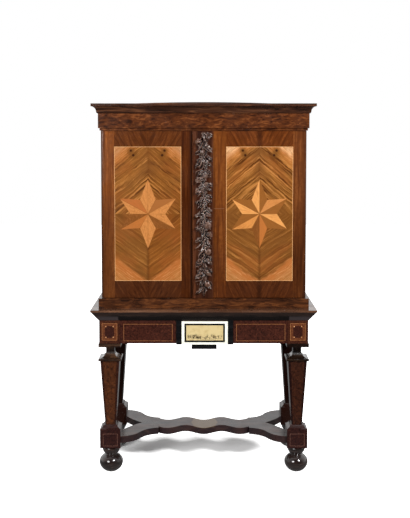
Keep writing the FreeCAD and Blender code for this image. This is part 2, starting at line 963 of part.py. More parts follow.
def pivot_pins(side):
    """Lower and upper pin, each with a collar that keeps the door clear of the carcase."""
    x = side * pivot_x
    lower = cylinder(pin_radius, x, pivot_y, plinth_top - pin_reach, door_bottom + pin_seat)
    lower_collar = cylinder(collar_radius, x, pivot_y, plinth_top + collar_gap, door_bottom)
    upper = cylinder(pin_radius, x, pivot_y, door_top - pin_seat, frieze_bottom + pin_reach)
    upper_collar = cylinder(collar_radius, x, pivot_y, door_top, frieze_bottom - collar_gap)
    return [lower.fuse(lower_collar).removeSplitter(), upper.fuse(upper_collar).removeSplitter()]


strip_left = right_door_edge + meeting_strip_inset
strip_right = strip_left + meeting_strip_width
strip_front = door_face - meeting_strip_thickness
keyhole_x = strip_left + keyhole_edge_distance
keyhole_z = panel_middle - lock_height / 4
lock_left = right_door_edge + lock_edge_distance


def keyhole(y_low, y_high):
    """Keyhole: a round bore with a slot below it."""
    start = FreeCAD.Vector(keyhole_x, y_low, keyhole_z)
    bore = Part.makeCylinder(keyhole_radius, y_high - y_low, start, backward)
    half = keyhole_slot_width / 2
    slot = box(keyhole_x - half, keyhole_x + half, y_low, y_high, keyhole_z - keyhole_slot_height, keyhole_z)
    return bore.fuse(slot)


def right_door_frame():
    pieces = door_frame(1, right_door_edge)
    pieces[1] = pieces[1].cut(keyhole(door_face, door_back))
    return pieces


def meeting_strip():
    strip = box(strip_left, strip_right, strip_front, door_face, door_bottom, door_top)
    return [strip.cut(keyhole(strip_front, door_face))]


def carved_garland():
    """Carving in the round as a low ridge with rounded fruit to either side of it."""
    carving_right = strip_right - carving_edge_distance
    x = carving_right - carving_width / 2
    carving_height = door_height - 2 * carving_end_gap
    z_low = door_bottom + carving_end_gap
    half_ridge = carving_width / 2 - carving_relief / 2
    path = [(x - half_ridge, strip_front), (x + half_ridge, strip_front, carving_ridge)]
    face = Part.Face(Part.Wire(outline_edges(path + [path[0]], level_plane)))
    face.translate(up * z_low)
    garland = face.extrude(up * carving_height)
    pitch = (carving_height - 2 * carving_relief) / (carving_fruit_count - 1)
    side_reach = carving_width / 2 - carving_relief
    fruits = []
    for index in range(carving_fruit_count):
        side = 1 if index % 2 else -1
        centre = FreeCAD.Vector(x + side * side_reach, strip_front, z_low + carving_relief + pitch * index)
        fruits.append(Part.makeSphere(carving_relief, centre))
    garland = garland.fuse(fruits)
    behind = box(x - carving_width, x + carving_width, strip_front, door_back, door_bottom, door_top)
    return [garland.cut(behind).removeSplitter()]


# Lock and bolts

lock_middle_y = door_back + lock_plate + lock_bolt_thickness / 2


def lock_slot(x_low, x_high, clearance):
    half_y = lock_bolt_thickness / 2 + clearance
    half_z = lock_bolt_height / 2 + clearance
    y = lock_middle_y
    return box(x_low, x_high, y - half_y, y + half_y, panel_middle - half_z, panel_middle + half_z)


def lock_case():
    z_low = panel_middle - lock_height / 2
    y_high = door_back + lock_depth
    case = box(lock_left, lock_left + lock_width, door_back, y_high, z_low, z_low + lock_height)
    slot_end = lock_left + lock_bolt_length + lock_bolt_clearance
    case = case.cut(lock_slot(lock_left, slot_end, lock_bolt_clearance))
    return [case.cut(keyhole(door_back, door_back + lock_depth - lock_plate))]


def lock_bolt():
    return [lock_slot(lock_left, lock_left + lock_bolt_length, 0)]


def lock_keeper():
    x_high = left_door_edge - keeper_gap
    x_low = x_high - keeper_width
    half = keeper_height / 2
    keeper = box(x_low, x_high, door_back, door_back + lock_depth, panel_middle - half, panel_middle + half)
    return [keeper.cut(lock_slot(x_low, x_high, lock_bolt_clearance))]


def slide_bolt(z_low, z_high):
    """Round rod with a knob between its guides."""
    rod = cylinder(rod_radius, rod_x, rod_y, z_low, z_high)
    middle = (z_low + z_high) / 2
    knob = Part.makeCylinder(knob_radius, knob_length, FreeCAD.Vector(rod_x, rod_y, middle), backward)
    return [rod.fuse(knob).removeSplitter()]


def bolt_guide(z_low):
    half = guide_block_width / 2
    z_high = z_low + guide_block_length
    block = box(rod_x - half, rod_x + half, door_back, door_back + guide_block_depth, z_low, z_high)
    return block.cut(cylinder(rod_radius + rod_clearance, rod_x, rod_y, z_low, z_high))


def bolt_guides():
    guides = []
    for z_low, z_high in (bottom_rod_span, top_rod_span):
        guides.append(bolt_guide(z_low + guide_end_distance))
        guides.append(bolt_guide(z_high - guide_end_distance - guide_block_length))
    return guides


def export(name, solids):
    shape = solids[0] if len(solids) == 1 else Part.makeCompound(solids)
    shape.exportStep("parts/" + name + ".step")


nodes = {
    "leg_blocks": [leg_block(*place) for place in leg_places().values()],
    "leg_capitals": [leg_capital(*place) for place in leg_places().values()],
    "corner_posts": [corner_post(*place) for place in leg_places().values()],
    "stretcher_plank": stretcher_plank(),
    "stretcher_fork_left": [mirrored(arm) for arm in stretcher_fork()],
    "stretcher_fork_right": stretcher_fork(),
    "front_rails": front_rails(),
    "drawer_rails": drawer_rails(),
    "back_rail": back_rail(),
    "side_rails": side_rails(),
    "stand_top": stand_top(),
    "stand_top_moulding": stand_top_moulding(),
    "ebony_strips": ebony_strips(),
    "drawer_runners": drawer_runners(),
    "drawer_kickers": drawer_kickers(),
    "drawer_front": drawer_front(),
    "drawer_sides": drawer_sides(),
    "drawer_back": drawer_back(),
    "drawer_bottom": drawer_bottom(),
    "ivory_frame": ivory_frame(),
    "plaque_border": plaque_border(),
    "plaque": plaque(),
    "drawer_pull": drawer_pull(),
    "plinth": plinth(),
    "frieze": frieze(),
    "cornice": cornice(),
    "top_board": top_board(),
    "carcase_side_left": [mirrored(carcase_side())],
    "carcase_side_right": [carcase_side()],
    "carcase_bottom": carcase_bottom(),
    "carcase_top": carcase_top(),
    "back_boards": back_boards(),
    "shelves": shelves(),
    "shelf_battens": shelf_battens(),
    "left_door_frame": door_frame(-1, left_door_edge),
    "left_door_panel": door_panel(-1),
    "left_door_veneer": door_veneer(-1),
    "left_door_star": door_star(-1),
    "left_pivot_pins": pivot_pins(-1),
    "lock_keeper": lock_keeper(),
    "bolt_guides": bolt_guides(),
    "top_bolt": slide_bolt(*top_rod_span),
    "bottom_bolt": slide_bolt(*bottom_rod_span),
    "right_door_frame": right_door_frame(),
    "right_door_panel": door_panel(1),
    "right_door_veneer": door_veneer(1),
    "right_door_star": door_star(1),
    "right_pivot_pins": pivot_pins(1),
    "meeting_strip": meeting_strip(),
    "carved_garland": carved_garland(),
    "lock_case": lock_case(),
    "lock_bolt": lock_bolt(),
}
for name, place in leg_places().items():
    nodes["bun_foot_" + name] = [bun_foot(*place)]
    nodes["leg_shaft_" + name] = [leg_shaft(*place)]

os.makedirs("parts", exist_ok=True)
for name, solids in nodes.items():
    export(name, solids)
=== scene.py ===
import bpy
import bmesh
import random
from functools import partial, partialmethod
from math import acos, asin, atan2, copysign, cos, hypot, pi, radians, sin, sqrt, tanh
from mathutils import Euler, Matrix, Vector


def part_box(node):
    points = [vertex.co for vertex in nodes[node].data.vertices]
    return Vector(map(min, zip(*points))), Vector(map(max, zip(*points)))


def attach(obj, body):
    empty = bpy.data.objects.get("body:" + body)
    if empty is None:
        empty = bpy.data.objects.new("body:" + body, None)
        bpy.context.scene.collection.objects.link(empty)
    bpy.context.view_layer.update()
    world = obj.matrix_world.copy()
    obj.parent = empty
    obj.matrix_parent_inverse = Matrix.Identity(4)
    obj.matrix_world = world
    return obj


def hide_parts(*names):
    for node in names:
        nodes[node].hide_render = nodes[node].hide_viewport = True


# Walnut cabinet on its stand, dressed for a plain studio picture. Metres, front towards -Y.
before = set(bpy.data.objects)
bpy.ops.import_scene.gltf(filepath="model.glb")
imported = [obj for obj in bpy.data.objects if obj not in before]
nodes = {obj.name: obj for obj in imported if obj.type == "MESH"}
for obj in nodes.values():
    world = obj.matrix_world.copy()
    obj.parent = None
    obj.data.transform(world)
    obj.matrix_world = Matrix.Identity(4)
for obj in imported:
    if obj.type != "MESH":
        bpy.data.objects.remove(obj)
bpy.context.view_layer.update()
print("frame loaded:", len(nodes), "nodes")


def tint(red, green, blue):
    # sRGB 0-255 as seen in the picture, to the linear colour that a socket takes
    parts = []
    for part in (red / 255, green / 255, blue / 255):
        parts.append(part / 12.92 if part <= 0.04045 else ((part + 0.055) / 1.055) ** 2.4)
    return (*parts, 1)


def tints(*colours):
    # the dark, middle and light tone of one wood
    return [tint(*colour) for colour in colours]


def shade(colour, factor):
    return (*(part * factor for part in colour[:3]), 1)


def nodeLow(name):
    return Vector(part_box(name)[0])


def nodeHigh(name):
    return Vector(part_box(name)[1])


def nodeMiddle(name):
    return (nodeLow(name) + nodeHigh(name)) / 2


class Value:
    # the output of a node, so that sums of outputs can be written out

    def __init__(self, tree, socket):
        self.tree = tree
        self.socket = socket

    def calc(self, operation, *others):
        return valueOf(self.tree, "Math", self, *others, operation=operation)

    __add__ = partialmethod(calc, "ADD")
    __sub__ = partialmethod(calc, "SUBTRACT")
    __mul__ = partialmethod(calc, "MULTIPLY")
    __truediv__ = partialmethod(calc, "DIVIDE")
    over = partialmethod(calc, "GREATER_THAN")
    under = partialmethod(calc, "LESS_THAN")

    def away(self, centre=0):
        return (self - centre).calc("ABSOLUTE")

    def step(self, low, high, atLow, atHigh):
        # eases from atLow to atHigh while the value goes from low to high
        return valueOf(self.tree, "MapRange", self, low, high, atLow, atHigh, interpolation_type="SMOOTHSTEP")

    def rise(self, low, high, top=1):
        return self.step(low, high, 0, top)

    def fall(self, low, high, top=1):
        return self.step(low, high, top, 0)

    def pick(self, no, yes):
        # for a value that is 0 or 1
        return self.step(0, 1, no, yes)


def feed(tree, socket, value):
    if isinstance(value, Value):
        tree.links.new(value.socket, socket)
    elif value is not None:
        socket.default_value = value


def addNode(tree, kind, *inputs, named=None, **settings):
    # a new node, shader nodes by their short name: its settings, its sockets in order, then those by name
    node = tree.nodes.new(kind if "Node" in kind else "ShaderNode" + kind)
    for name, setting in settings.items():
        setattr(node, name, setting)
    for key, value in [*enumerate(inputs), *(named or {}).items()]:
        feed(tree, node.inputs[key], value)
    return node


def valueOf(tree, kind, *inputs, output=0, **settings):
    return Value(tree, addNode(tree, kind, *inputs, **settings).outputs[output])


class Finish:
    # one material while it is put together; colour holds what has been laid so far

    def __init__(self, name, specular=0.5, coat=0, roughness=0.5, metallic=0):
        self.made = bpy.data.materials.new(name)
        self.made.use_nodes = True
        self.tree = self.made.node_tree
        self.set("Roughness", roughness)
        self.set("Specular IOR Level", specular)
        self.set("Coat Weight", coat)
        self.set("Coat Roughness", 0.12)
        self.set("Metallic", metallic)
        self.spot = self.node("TexCoord", output="Object")
        split = addNode(self.tree, "SeparateXYZ", self.spot)
        self.x, self.y, self.z = [Value(self.tree, socket) for socket in split.outputs]

    def set(self, name, value):
        feed(self.tree, self.tree.nodes["Principled BSDF"].inputs[name], value)

    def node(self, kind, *inputs, **settings):
        return valueOf(self.tree, kind, *inputs, **settings)

    def noise(self, place, detail=3, roughness=0.55, warp=0, scale=1):
        # place is a vector or its three parts
        if isinstance(place, tuple):
            place = self.node("CombineXYZ", *place)
        sockets = {"Scale": scale, "Detail": detail, "Roughness": roughness, "Distortion": warp}
        return self.node("TexNoise", place, named=sockets)

    def cloud(self, scale, detail=3, roughness=0.55, warp=0):
        return self.noise(self.spot, detail, roughness, warp, scale)

    def mix(self, factor, first, second, blend="MIX"):
        sockets = {0: factor, 6: first, 7: second}
        return self.node("Mix", named=sockets, output=2, data_type="RGBA", blend_type=blend)

    def lay(self, tone, amount=1, blend="MIX"):
        self.colour = self.mix(amount, self.colour, tone, blend)

    def ramp(self, factor, stops, interpolation="EASE"):
        node = addNode(self.tree, "ValToRGB", factor)
        node.color_ramp.interpolation = interpolation
        while len(node.color_ramp.elements) < len(stops):
            node.color_ramp.elements.new(0.5)
        for element, (position, colour) in zip(node.color_ramp.elements, stops):
            element.position = position
            element.color = colour
        return Value(self.tree, node.outputs[0])

    def tones(self, board, height):
        foot, head = boardToneAndShade[board]
        return self.mix(height, (*foot, 1), (*head, 1))

    def along(self, way):
        # what the bands cross and what they follow: round a moulding, up a board, or along a flat one
        if way == "level":
            return self.z, self.x + self.y
        if way == "upright":
            return self.x + self.y, self.z
        return self.y + self.z, self.x

    def grain(self, across, along, wood, bands=42, run=4, warp=0.5, fibre=0.3, seed=0):
        # long wandering bands, fine fibres and short dark pores that follow one direction
        dark, middle, light = wood
        figure = self.noise((across * bands + seed, along * run, seed), 4, 0.6, warp)
        colour = self.ramp(figure, [(0.34, dark), (0.5, middle), (0.66, light)])
        fine = self.noise((across * 620, along * 14, seed), 2, 0.6)
        colour = self.mix(fine.rise(0.4, 0.62, fibre), colour, shade(dark, 0.7))
        pores = self.noise((across * 1500, along * 90, seed), 1, 0.5).rise(0.6, 0.7)
        return self.mix(pores * 0.35, colour, shade(dark, 0.35)), pores

    def burr(self, wood, scale=70, seed=0):
        # swirling burr with small dark eyes
        dark, middle, light = wood
        place = self.node("VectorMath", self.spot, (seed, seed * 0.7, seed * 1.3), operation="ADD")
        swirl = self.noise(place, 5, 0.65, 2.2, scale)
        colour = self.ramp(swirl, [(0.32, dark), (0.5, middle), (0.68, light)])
        eyes = self.node("TexVoronoi", place, named={"Scale": scale * 2.2}, output="Distance")
        return self.mix(eyes.fall(0.08, 0.32, 0.75), colour, shade(dark, 0.6)), swirl

    def finish(self, height=None, depth=0.00006, edge=0.0012, polish=None):
        # height lowers pores and tool marks, edge softens the arris that years of dusting leave
        self.set("Base Color", self.colour)
        normal = None
        if edge:
            normal = self.node("Bevel", edge, samples=4)
        if height is not None:
            sockets = {"Strength": 0.6, "Distance": depth, "Height": height, "Normal": normal}
            normal = self.node("Bump", named=sockets)
        if normal is not None:
            self.set("Normal", normal)
        if polish is not None:
            self.set("Roughness", self.cloud(9, 3, 0.6).step(0.3, 0.7, *polish))
        return self.made


def dress(material, names):
    # gives the named CAD nodes their finish
    for name in names.split():
        slots = nodes[name].data.materials
        slots.clear()
        slots.append(material)


def linked(name, data):
    # a new object in the scene
    made = bpy.data.objects.new(name, data)
    bpy.context.scene.collection.objects.link(made)
    return made


def pieceFrom(name, mesh, material, body, slot, smooth=True):
    mesh.name = name
    piece = linked(name, mesh)
    mesh.materials.clear()
    mesh.materials.append(material)
    for face in mesh.polygons:
        face.use_smooth = smooth
    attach(piece, body)
    return piece


def meshOf(build, mend=True):
    # runs build on an empty bmesh and returns the mesh, seams merged and faces outward
    work = bmesh.new()
    build(work)
    if mend:
        bmesh.ops.remove_doubles(work, verts=work.verts, dist=1e-6)
        bmesh.ops.recalc_face_normals(work, faces=work.faces)
    mesh = bpy.data.meshes.new("work")
    work.to_mesh(mesh)
    work.free()
    return mesh


def skin(work, rings, capped=False):
    # walls between rings of equal count, both ends closed where capped
    made = [[work.verts.new(point) for point in ring] for ring in rings]
    for lower, upper in zip(made, made[1:]):
        for index, after in zip(range(len(lower)), [*range(1, len(lower)), 0]):
            work.faces.new([lower[index], lower[after], upper[after], upper[index]])
    if capped:
        work.faces.new(made[0])
        work.faces.new(made[-1])


def roundTurn(count):
    # cosine and sine of count even steps round a circle
    angles = [2 * pi * index / count for index in range(count)]
    return [(cos(angle), sin(angle)) for angle in angles]


# Looks of the woods

cabinetWood = {
    "stile": tints((84, 42, 18), (109, 58, 25), (134, 76, 36)),
    "rail": tints((76, 39, 17), (100, 53, 24), (122, 68, 32)),
    # the frieze is set darker: partly its own burr, partly painted shade under the cornice
    "frieze": tints((44, 21, 11), (84, 43, 20), (122, 69, 35)),
    "cornice": tints((36, 20, 13), (67, 38, 24), (106, 66, 42)),
    # the plinth is set darker: partly its own wood, partly painted shade towards the foot
    "plinth": tints((39, 20, 11), (74, 40, 21), (108, 62, 32)),
    "strip": tints((46, 21, 11), (80, 42, 24), (108, 62, 36)),
    "side": tints((58, 30, 17), (92, 50, 27), (122, 70, 38)),
    "topEdge": tints((70, 44, 30), (100, 66, 46), (126, 86, 60)),
}
# tone of each member of the door frames near its foot and near its head: partly the board's own tone, partly
# painted shade that darkens each member towards its foot, with the left door's inner stile darker still as
# painted shade
boardToneAndShade = {
    "leftOuter": ((0.88, 0.93, 0.95), (1.36, 1.38, 1.25)),
    "leftInner": ((0.42, 0.36, 0.3), (0.5, 0.42, 0.34)),
    "leftRail": ((0.57, 0.57, 0.64), (0.84, 0.81, 0.71)),
    "rightOuter": ((0.52, 0.5, 0.5), (0.98, 1, 1)),
    "rightInner": ((0.7, 0.64, 0.54), (1.28, 1.29, 1)),
    "rightRail": ((0.6, 0.56, 0.54), (1, 0.9, 0.7)),
}
# painted shadow that the meeting strip casts along the left door, and the glue joint across the right door's
# inner stile
stripShadow = {"reach": (-0.076, -0.064), "depth": 0.8}
glueLine = {"height": 1.354, "centre": 0.077, "half": 0.024, "strength": 0.6}


def stileFinish(side, sign):
    # crossbanded rails lean to a centre seam, stiles run upright; each member has its own tone, partly
    # painted shade that darkens it towards its foot
    f = Finish(side + "DoorFrameWalnut", specular=0.2, coat=0.12)
    low, high = nodeLow(side + "_door_panel"), nodeHigh(side + "_door_panel")
    centre = (low.x + high.x) / 2
    offset = f.x.away(centre)
    rail = offset.under((high.x - low.x) / 2) * f.z.over(high.z).calc("MAXIMUM", f.z.under(low.z))
    upright, pores = f.grain(f.x, f.z, cabinetWood["stile"], bands=64, run=3.2, warp=0.7, seed=sign * 4)
    fan = f.grain(offset * 0.9 + f.z * -0.45, offset * 0.45 + f.z * 0.9, cabinetWood["rail"], bands=62,
                  run=9, warp=1, seed=3 + sign)[0]
    f.colour = f.mix(rail, upright, fan)
    f.lay(cabinetWood["stile"][0], f.noise((f.x * 60, f.z * 46, sign), 4, 0.65, 0.6).rise(0.4, 0.66, 0.5))
    dark = cabinetWood["frieze"][0]
    seam = offset.fall(0, 0.0012, 0.8)
    if side == "right":
        seam = seam.calc("MAXIMUM", offset.fall(0.004, 0.02, 0.5))
    f.lay(dark, seam * rail)
    height = f.z.rise(low.z - 0.02, high.z - 0.1)
    isInner = (f.x * sign).under(centre * sign)
    # each member's own tone with painted shade, darker towards the foot
    member = f.mix(isInner, f.tones(side + "Outer", height), f.tones(side + "Inner", height))
    f.lay(f.mix(rail, member, f.tones(side + "Rail", height)), blend="MULTIPLY")
    f.lay(dark, f.x.away().rise(0.485, 0.513, 0.5))
    if side == "left":
        # painted shadow of the meeting strip on the left door's inner stile
        f.lay(dark, f.x.rise(*stripShadow["reach"], stripShadow["depth"]))
    else:
        half = glueLine["half"]
        across = f.z.away(glueLine["height"]).fall(0.0012, 0.0022, glueLine["strength"])
        within = f.x.away(glueLine["centre"]).fall(half, half + 0.004, 1)
        f.lay(cabinetWood["topEdge"][2], across * within)
    return f.finish(pores, polish=(0.16, 0.27))


panelWood = {
    "up": tints((122, 74, 29), (152, 96, 42), (180, 120, 58)),
    "down": tints((108, 65, 25), (134, 83, 35), (158, 102, 46)),
    "bands": {"bands": 84, "run": 2.4, "warp": 0.2, "fibre": 0.45},
    "slant": (radians(35), radians(40)),  # how far the bands lean from the level, below and above
    "line": tint(82, 44, 16),
    "pale": tint(196, 132, 68),
    "olive": tint(120, 74, 32),
    "flush": tint(144, 80, 35),  # redder heartwood among the bands
    "blush": tint(178, 102, 48),
    "crown": tint(106, 64, 30),
    "waist": (0.04, 0.16),
    # tone of the two quarters right of the middle, below and above
    "leftRightHalf": ((1, 0.9, 0.78, 1), (0.9, 0.86, 0.8, 1)),
    "rightRightHalf": ((0.94, 0.92, 0.9, 1), (1, 1, 1, 1)),
    "streaks": 1,
    "lowerStreaks": 0.46,
    # sapwood: lower corners, upper corners, and what lies before the upper corners
    "left": (tint(180, 118, 64), tint(186, 134, 90), tint(184, 112, 56)),
    "right": (tint(184, 128, 76), tint(250, 207, 158), tint(196, 124, 62)),
    "smudge": tint(168, 102, 52),
    "sapGleam": tint(226, 166, 108),
    "sapDeepens": (0.285, 0.35),
    "paleReach": (0.3, 0.352),
    "lowCorner": (0.288, 0.31),
    "highCorner": (0.306, 0.358),
    "knots": ((0.084, 0.02), (0.072, 0.043)),  # distance from the middle and from the top
    "knot": tint(44, 22, 12),
}


def panelFinish(side, seed):
    # four quarters matched about the panel's centre, bands leaning to the seam, sapwood in the corners
    wood = panelWood
    middle = nodeMiddle(side + "_door_veneer")
    f = Finish(side + "PanelWalnut", specular=0.2, coat=0.15)
    out, up = f.x.away(middle.x), f.z.away(middle.z)
    isLower, isUpper, isRight = f.z.under(middle.z), f.z.over(middle.z), f.x.over(middle.x)
    below, above = wood["slant"]
    slantCos = isLower.pick(cos(above), cos(below))
    slantSin = isLower.pick(sin(above), sin(below))
    across = up * slantCos + out * slantSin
    along = out * slantCos - up * slantSin
    # each quarter is a leaf of its own: the same figure, a little shifted
    quarter = isRight * 0.35 + isLower * 4.1
    wander = across + f.noise((out * 9, up * 9, quarter + seed), 4, 0.6) * 0.03
    upper, pores = f.grain(wander, along, wood["up"], seed=seed, **wood["bands"])
    lower = f.grain(wander, along, wood["down"], seed=seed + 2.6, **wood["bands"])[0]
    f.colour = f.mix(isLower, upper, lower)
    cloud = f.noise((f.x * 22, f.z * 22, seed + 3), 4, 0.62, 0.4)
    f.lay(wood["olive"], cloud.rise(0.42, 0.66, 0.55))
    f.lay(wood["flush"], f.noise((wander * 16, along * 5, seed + 11), 3, 0.6).rise(0.46, 0.64, 0.5))
    f.lay(wood["down"][0], up.fall(*wood["waist"], 0.4))
    f.lay(wood["crown"], out.fall(0, 0.07, 0.5) * up.rise(0.14, 0.24) * isUpper)
    # dark growth lines, few and uneven, strongest in the upper half towards the sides
    lines = f.noise((wander * 112, along * 4, quarter + (seed + 7)), 3, 0.7)
    strong = f.noise((across * 26, along * 6, seed + 5), 2, 0.5).step(0.38, 0.56, 0.15, 1)
    strong = strong * isLower.pick(wood["streaks"], wood["lowerStreaks"])
    f.lay(wood["line"], lines.rise(0.5, 0.62) * strong)
    f.lay(wood["pale"], lines.fall(0.36, 0.48, 0.7) * strong)
    toneBelow, toneAbove = wood[side + "RightHalf"]
    f.lay(f.mix(isLower, toneAbove, toneBelow), isRight, "MULTIPLY")
    # sapwood beyond the last bands
    heartwood = f.colour
    ragged = across + f.noise((across * 34, along * 14, seed), 4) * 0.045
    cloudy = across + f.noise((f.x * 26, f.z * 26, seed), 4, 0.6) * 0.07
    corner = f.mix(isLower, cloudy.rise(*wood["highCorner"]), ragged.rise(*wood["lowCorner"]))
    lowTone, highTone, nearTone = wood[side]
    f.colour = f.mix(across.rise(*wood["paleReach"]), nearTone, highTone)
    f.lay(wood["smudge"], f.noise((f.x * 30, f.z * 30, seed + 21), 4, 0.65).rise(0.44, 0.66, 0.36))
    f.lay(lowTone, isLower)
    sapLines = f.noise((wander * 170, along * 9, seed + 2), 3, 0.65)
    f.lay(wood["up"][1], sapLines.rise(0.42, 0.6, isLower.pick(0.45, 0.7)))
    f.lay(wood["blush"], f.noise((f.x * 38, f.z * 38, seed + 9), 4, 0.6).rise(0.42, 0.66, 0.42))
    f.lay(wood["blush"], across.fall(*wood["sapDeepens"], 0.75) * isLower)
    streaks = f.noise((wander * 320, along * 16, seed + 31), 3, 0.65)
    f.lay(wood["flush"], streaks.rise(0.5, 0.66, 0.5))
    f.lay(wood["sapGleam"], streaks.fall(0.34, 0.46, 0.4))
    sapwood, f.colour = f.colour, heartwood
    f.lay(sapwood, corner * 0.92)
    # knots near the top edge
    top = nodeHigh(side + "_door_veneer").z
    for knotOut, knotDrop in wood["knots"]:
        place = f.node("CombineXYZ", out - knotOut, 0, f.z - (top - knotDrop))
        distance = f.node("VectorMath", place, output="Value", operation="LENGTH")
        distance = distance + f.cloud(260, 2) * 0.004
        f.lay(wood["down"][0], distance.fall(0.006, 0.032, 0.75))
        f.lay(wood["knot"], distance.fall(0.006, 0.0105, 0.9))
    f.lay(wood["down"][0], out.calc("MINIMUM", up).fall(0, 0.0011, 0.6))
    f.lay(wood["line"], out.fall(0, 0.012, 0.5) * isLower.pick(0.3, 1))
    return f.finish(pores, polish=(0.15, 0.25), edge=0)


starPieces = {
    # wood of each kite half, anticlockwise from the right-hand waist
    "left": "orange umber orange orange rust orange dark amber orange orange dark orange",
    "right": "brown orange brown pale brown pale brown honey dark amber brown pale",
    "leftFleck": 0.6,
    "rightFleck": 0.15,
    "leftSeam": 0.7,
    "rightSeam": 0.45,
    "sideTip": (0.14, 0.078),  # from the centre of the star
    "notch": (0.0395, 0.071),
    "pale": tint(220, 152, 84),
    "honey": tint(206, 136, 70),
    "orange": tint(198, 130, 70),
    "rust": tint(176, 100, 50),
    "amber": tint(178, 106, 50),
    "umber": tint(156, 96, 48),
    "brown": tint(136, 84, 36),
    "dark": tint(118, 69, 29),
}


def starFinish(side, seed):
    middle = nodeMiddle(side + "_door_star")
    f = Finish(side + "StarFruitwood", specular=0.2, coat=0.15)
    across, rise = f.x - middle.x, f.z - middle.z
    turn = (rise.calc("ARCTAN2", across) * (1 / (2 * pi)) + 1).calc("FRACT")
    corners = (starPieces["sideTip"], starPieces["notch"])
    sideTip, notch = [atan2(z, x) / (2 * pi) for x, z in corners]
    edges = [0, sideTip, notch, 0.25, 0.5 - notch, 0.5 - sideTip]
    edges += [0.5 + edge for edge in edges]
    stops = [(edge, starPieces[name]) for edge, name in zip(edges, starPieces[side].split())]
    f.colour = f.ramp(turn, stops, "CONSTANT")
    distance = (across * across + rise * rise).calc("SQRT")
    streaks = f.noise((turn * 70, distance * 22, seed), 4, 0.6)
    f.lay(shade(starPieces["amber"], 0.75), streaks.rise(0.42, 0.7, 0.42))
    flecks = f.noise((f.x * 120, f.z * 70, seed), 5, 0.75, 1.2)
    f.lay(starPieces["umber"], flecks.rise(0.46, 0.64, starPieces[side + "Fleck"]))
    # glue seams between the pieces
    for edge in edges[1:] + [1]:
        seam = turn.away(edge) * distance
        f.lay(starPieces["dark"], seam.fall(0, 0.00028, starPieces[side + "Seam"]))
    return f.finish(streaks, polish=(0.15, 0.25), edge=0)


def friezeFinish():
    # burr walnut, its swirls drawn out along the cabinet
    f = Finish("friezeWalnut", specular=0.25, coat=0.15)
    dark, middle, light = cabinetWood["frieze"]
    drawn = f.node("CombineXYZ", f.x * 0.38, f.y, f.z)
    swirl = f.noise(drawn, 5, 0.62, 1.6, 46)
    f.colour = f.ramp(swirl, [(0.34, dark), (0.5, middle), (0.68, light)])
    cloud = f.noise(drawn, 3, 0.6, 0.5, 13)
    f.lay(dark, cloud.fall(0.36, 0.5, 0.5))
    f.lay(middle, cloud.rise(0.52, 0.68, 0.4))
    f.lay(dark, f.noise((f.x * 40, f.y, f.z * 220), 3, 0.6).rise(0.5, 0.68, 0.4))
    return f.finish(swirl, polish=(0.16, 0.28))


def stripFinish():
    # the ground behind the carving is darker
    f = Finish("meetingStripWalnut", specular=0.25, coat=0.15)
    f.colour, pores = f.grain(f.x, f.z, cabinetWood["strip"], bands=40, run=3, warp=0.6, seed=12)
    ground = f.x.away(nodeMiddle("carved_garland").x).fall(0.036, 0.045, 0.66)
    f.lay(shade(cabinetWood["strip"][0], 0.9), ground)
    return f.finish(pores, polish=(0.18, 0.3))


def plainFinish(name, way, wood, bands, run, warp, seed, specular=0.25, coat=0.15, polish=(0.16, 0.28)):
    f = Finish(name, specular=specular, coat=coat)
    f.colour, pores = f.grain(*f.along(way), wood, bands=bands, run=run, warp=warp, seed=seed)
    return f.finish(pores, polish=polish)


boards = {"specular": 0.5, "coat": 0.5, "polish": (0.2, 0.36)}
for side, sign, panelSeed, starSeed in (("left", -1, 1.7, 2), ("right", 1, 5.3, 8)):
    dress(stileFinish(side, sign), side + "_door_frame")
    dress(panelFinish(side, panelSeed), side + "_door_veneer")
    dress(starFinish(side, starSeed), side + "_door_star")
dress(friezeFinish(), "frieze")
dress(plainFinish("corniceWalnut", "level", cabinetWood["cornice"], 60, 4, 1.2, 4, coat=0.4), "cornice")
dress(plainFinish("plinthWalnut", "level", cabinetWood["plinth"], 40, 8, 2, 9), "plinth")
dress(plainFinish("topBoardWalnut", "flat", cabinetWood["cornice"], 26, 2.4, 0.8, 2, **boards), "top_board")
dress(plainFinish("standTopWalnut", "flat", cabinetWood["topEdge"], 26, 2.4, 0.8, 6, **boards), "stand_top")
dress(plainFinish("carcaseWalnut", "upright", cabinetWood["side"], 40, 3, 0.6, 3, polish=(0.18, 0.3)),
      "carcase_side_left carcase_side_right")
dress(stripFinish(), "meeting_strip")
print("cabinet woods done")


# Stand woods

standWood = {
    # the stand's frieze burr is set darker: partly its own burr, partly painted shade low on the stand
    "burr": tints((40, 19, 14), (61, 30, 22), (84, 43, 30)),
    "legBurr": tints((48, 24, 13), (74, 40, 22), (98, 54, 28)),
    # multiplier that paints shade on the right-hand legs
    "rightLegShade": (0.55, 0.55, 0.75, 1),
    "band": tints((40, 19, 13), (63, 32, 21), (90, 49, 31)),
    "block": tints((30, 14, 13), (47, 24, 22), (68, 36, 28)),
    "capital": tints((24, 14, 10), (52, 34, 24), (86, 60, 42)),
    # multiplier that paints shade on the right-hand capitals
    "rightCapitalShade": 0.3,
    "stretcher": tints((30, 21, 21), (56, 40, 37), (84, 62, 52)),
    "stretcherMurk": tint(24, 19, 25),
    "stretcherEdge": tint(46, 34, 38),
    "stretcherWarm": tint(72, 44, 36),
    "stretcherPatch": tint(112, 90, 62),
    "black": tints((22, 16, 15), (36, 27, 24), (54, 40, 34)),
    "ebony": tints((10, 10, 11), (18, 18, 20), (30, 30, 32)),
    "foot": tints((20, 14, 13), (40, 30, 27), (66, 50, 44)),
    "worn": tint(60, 44, 38),
    # grey laid over the posts: painted reflection of the floor
    "reflectedOverPost": tint(64, 56, 57),
    "postReach": (0.425, 0.435),
    "legHalfTop": 0.048,
    "legHalfFoot": 0.027,
}


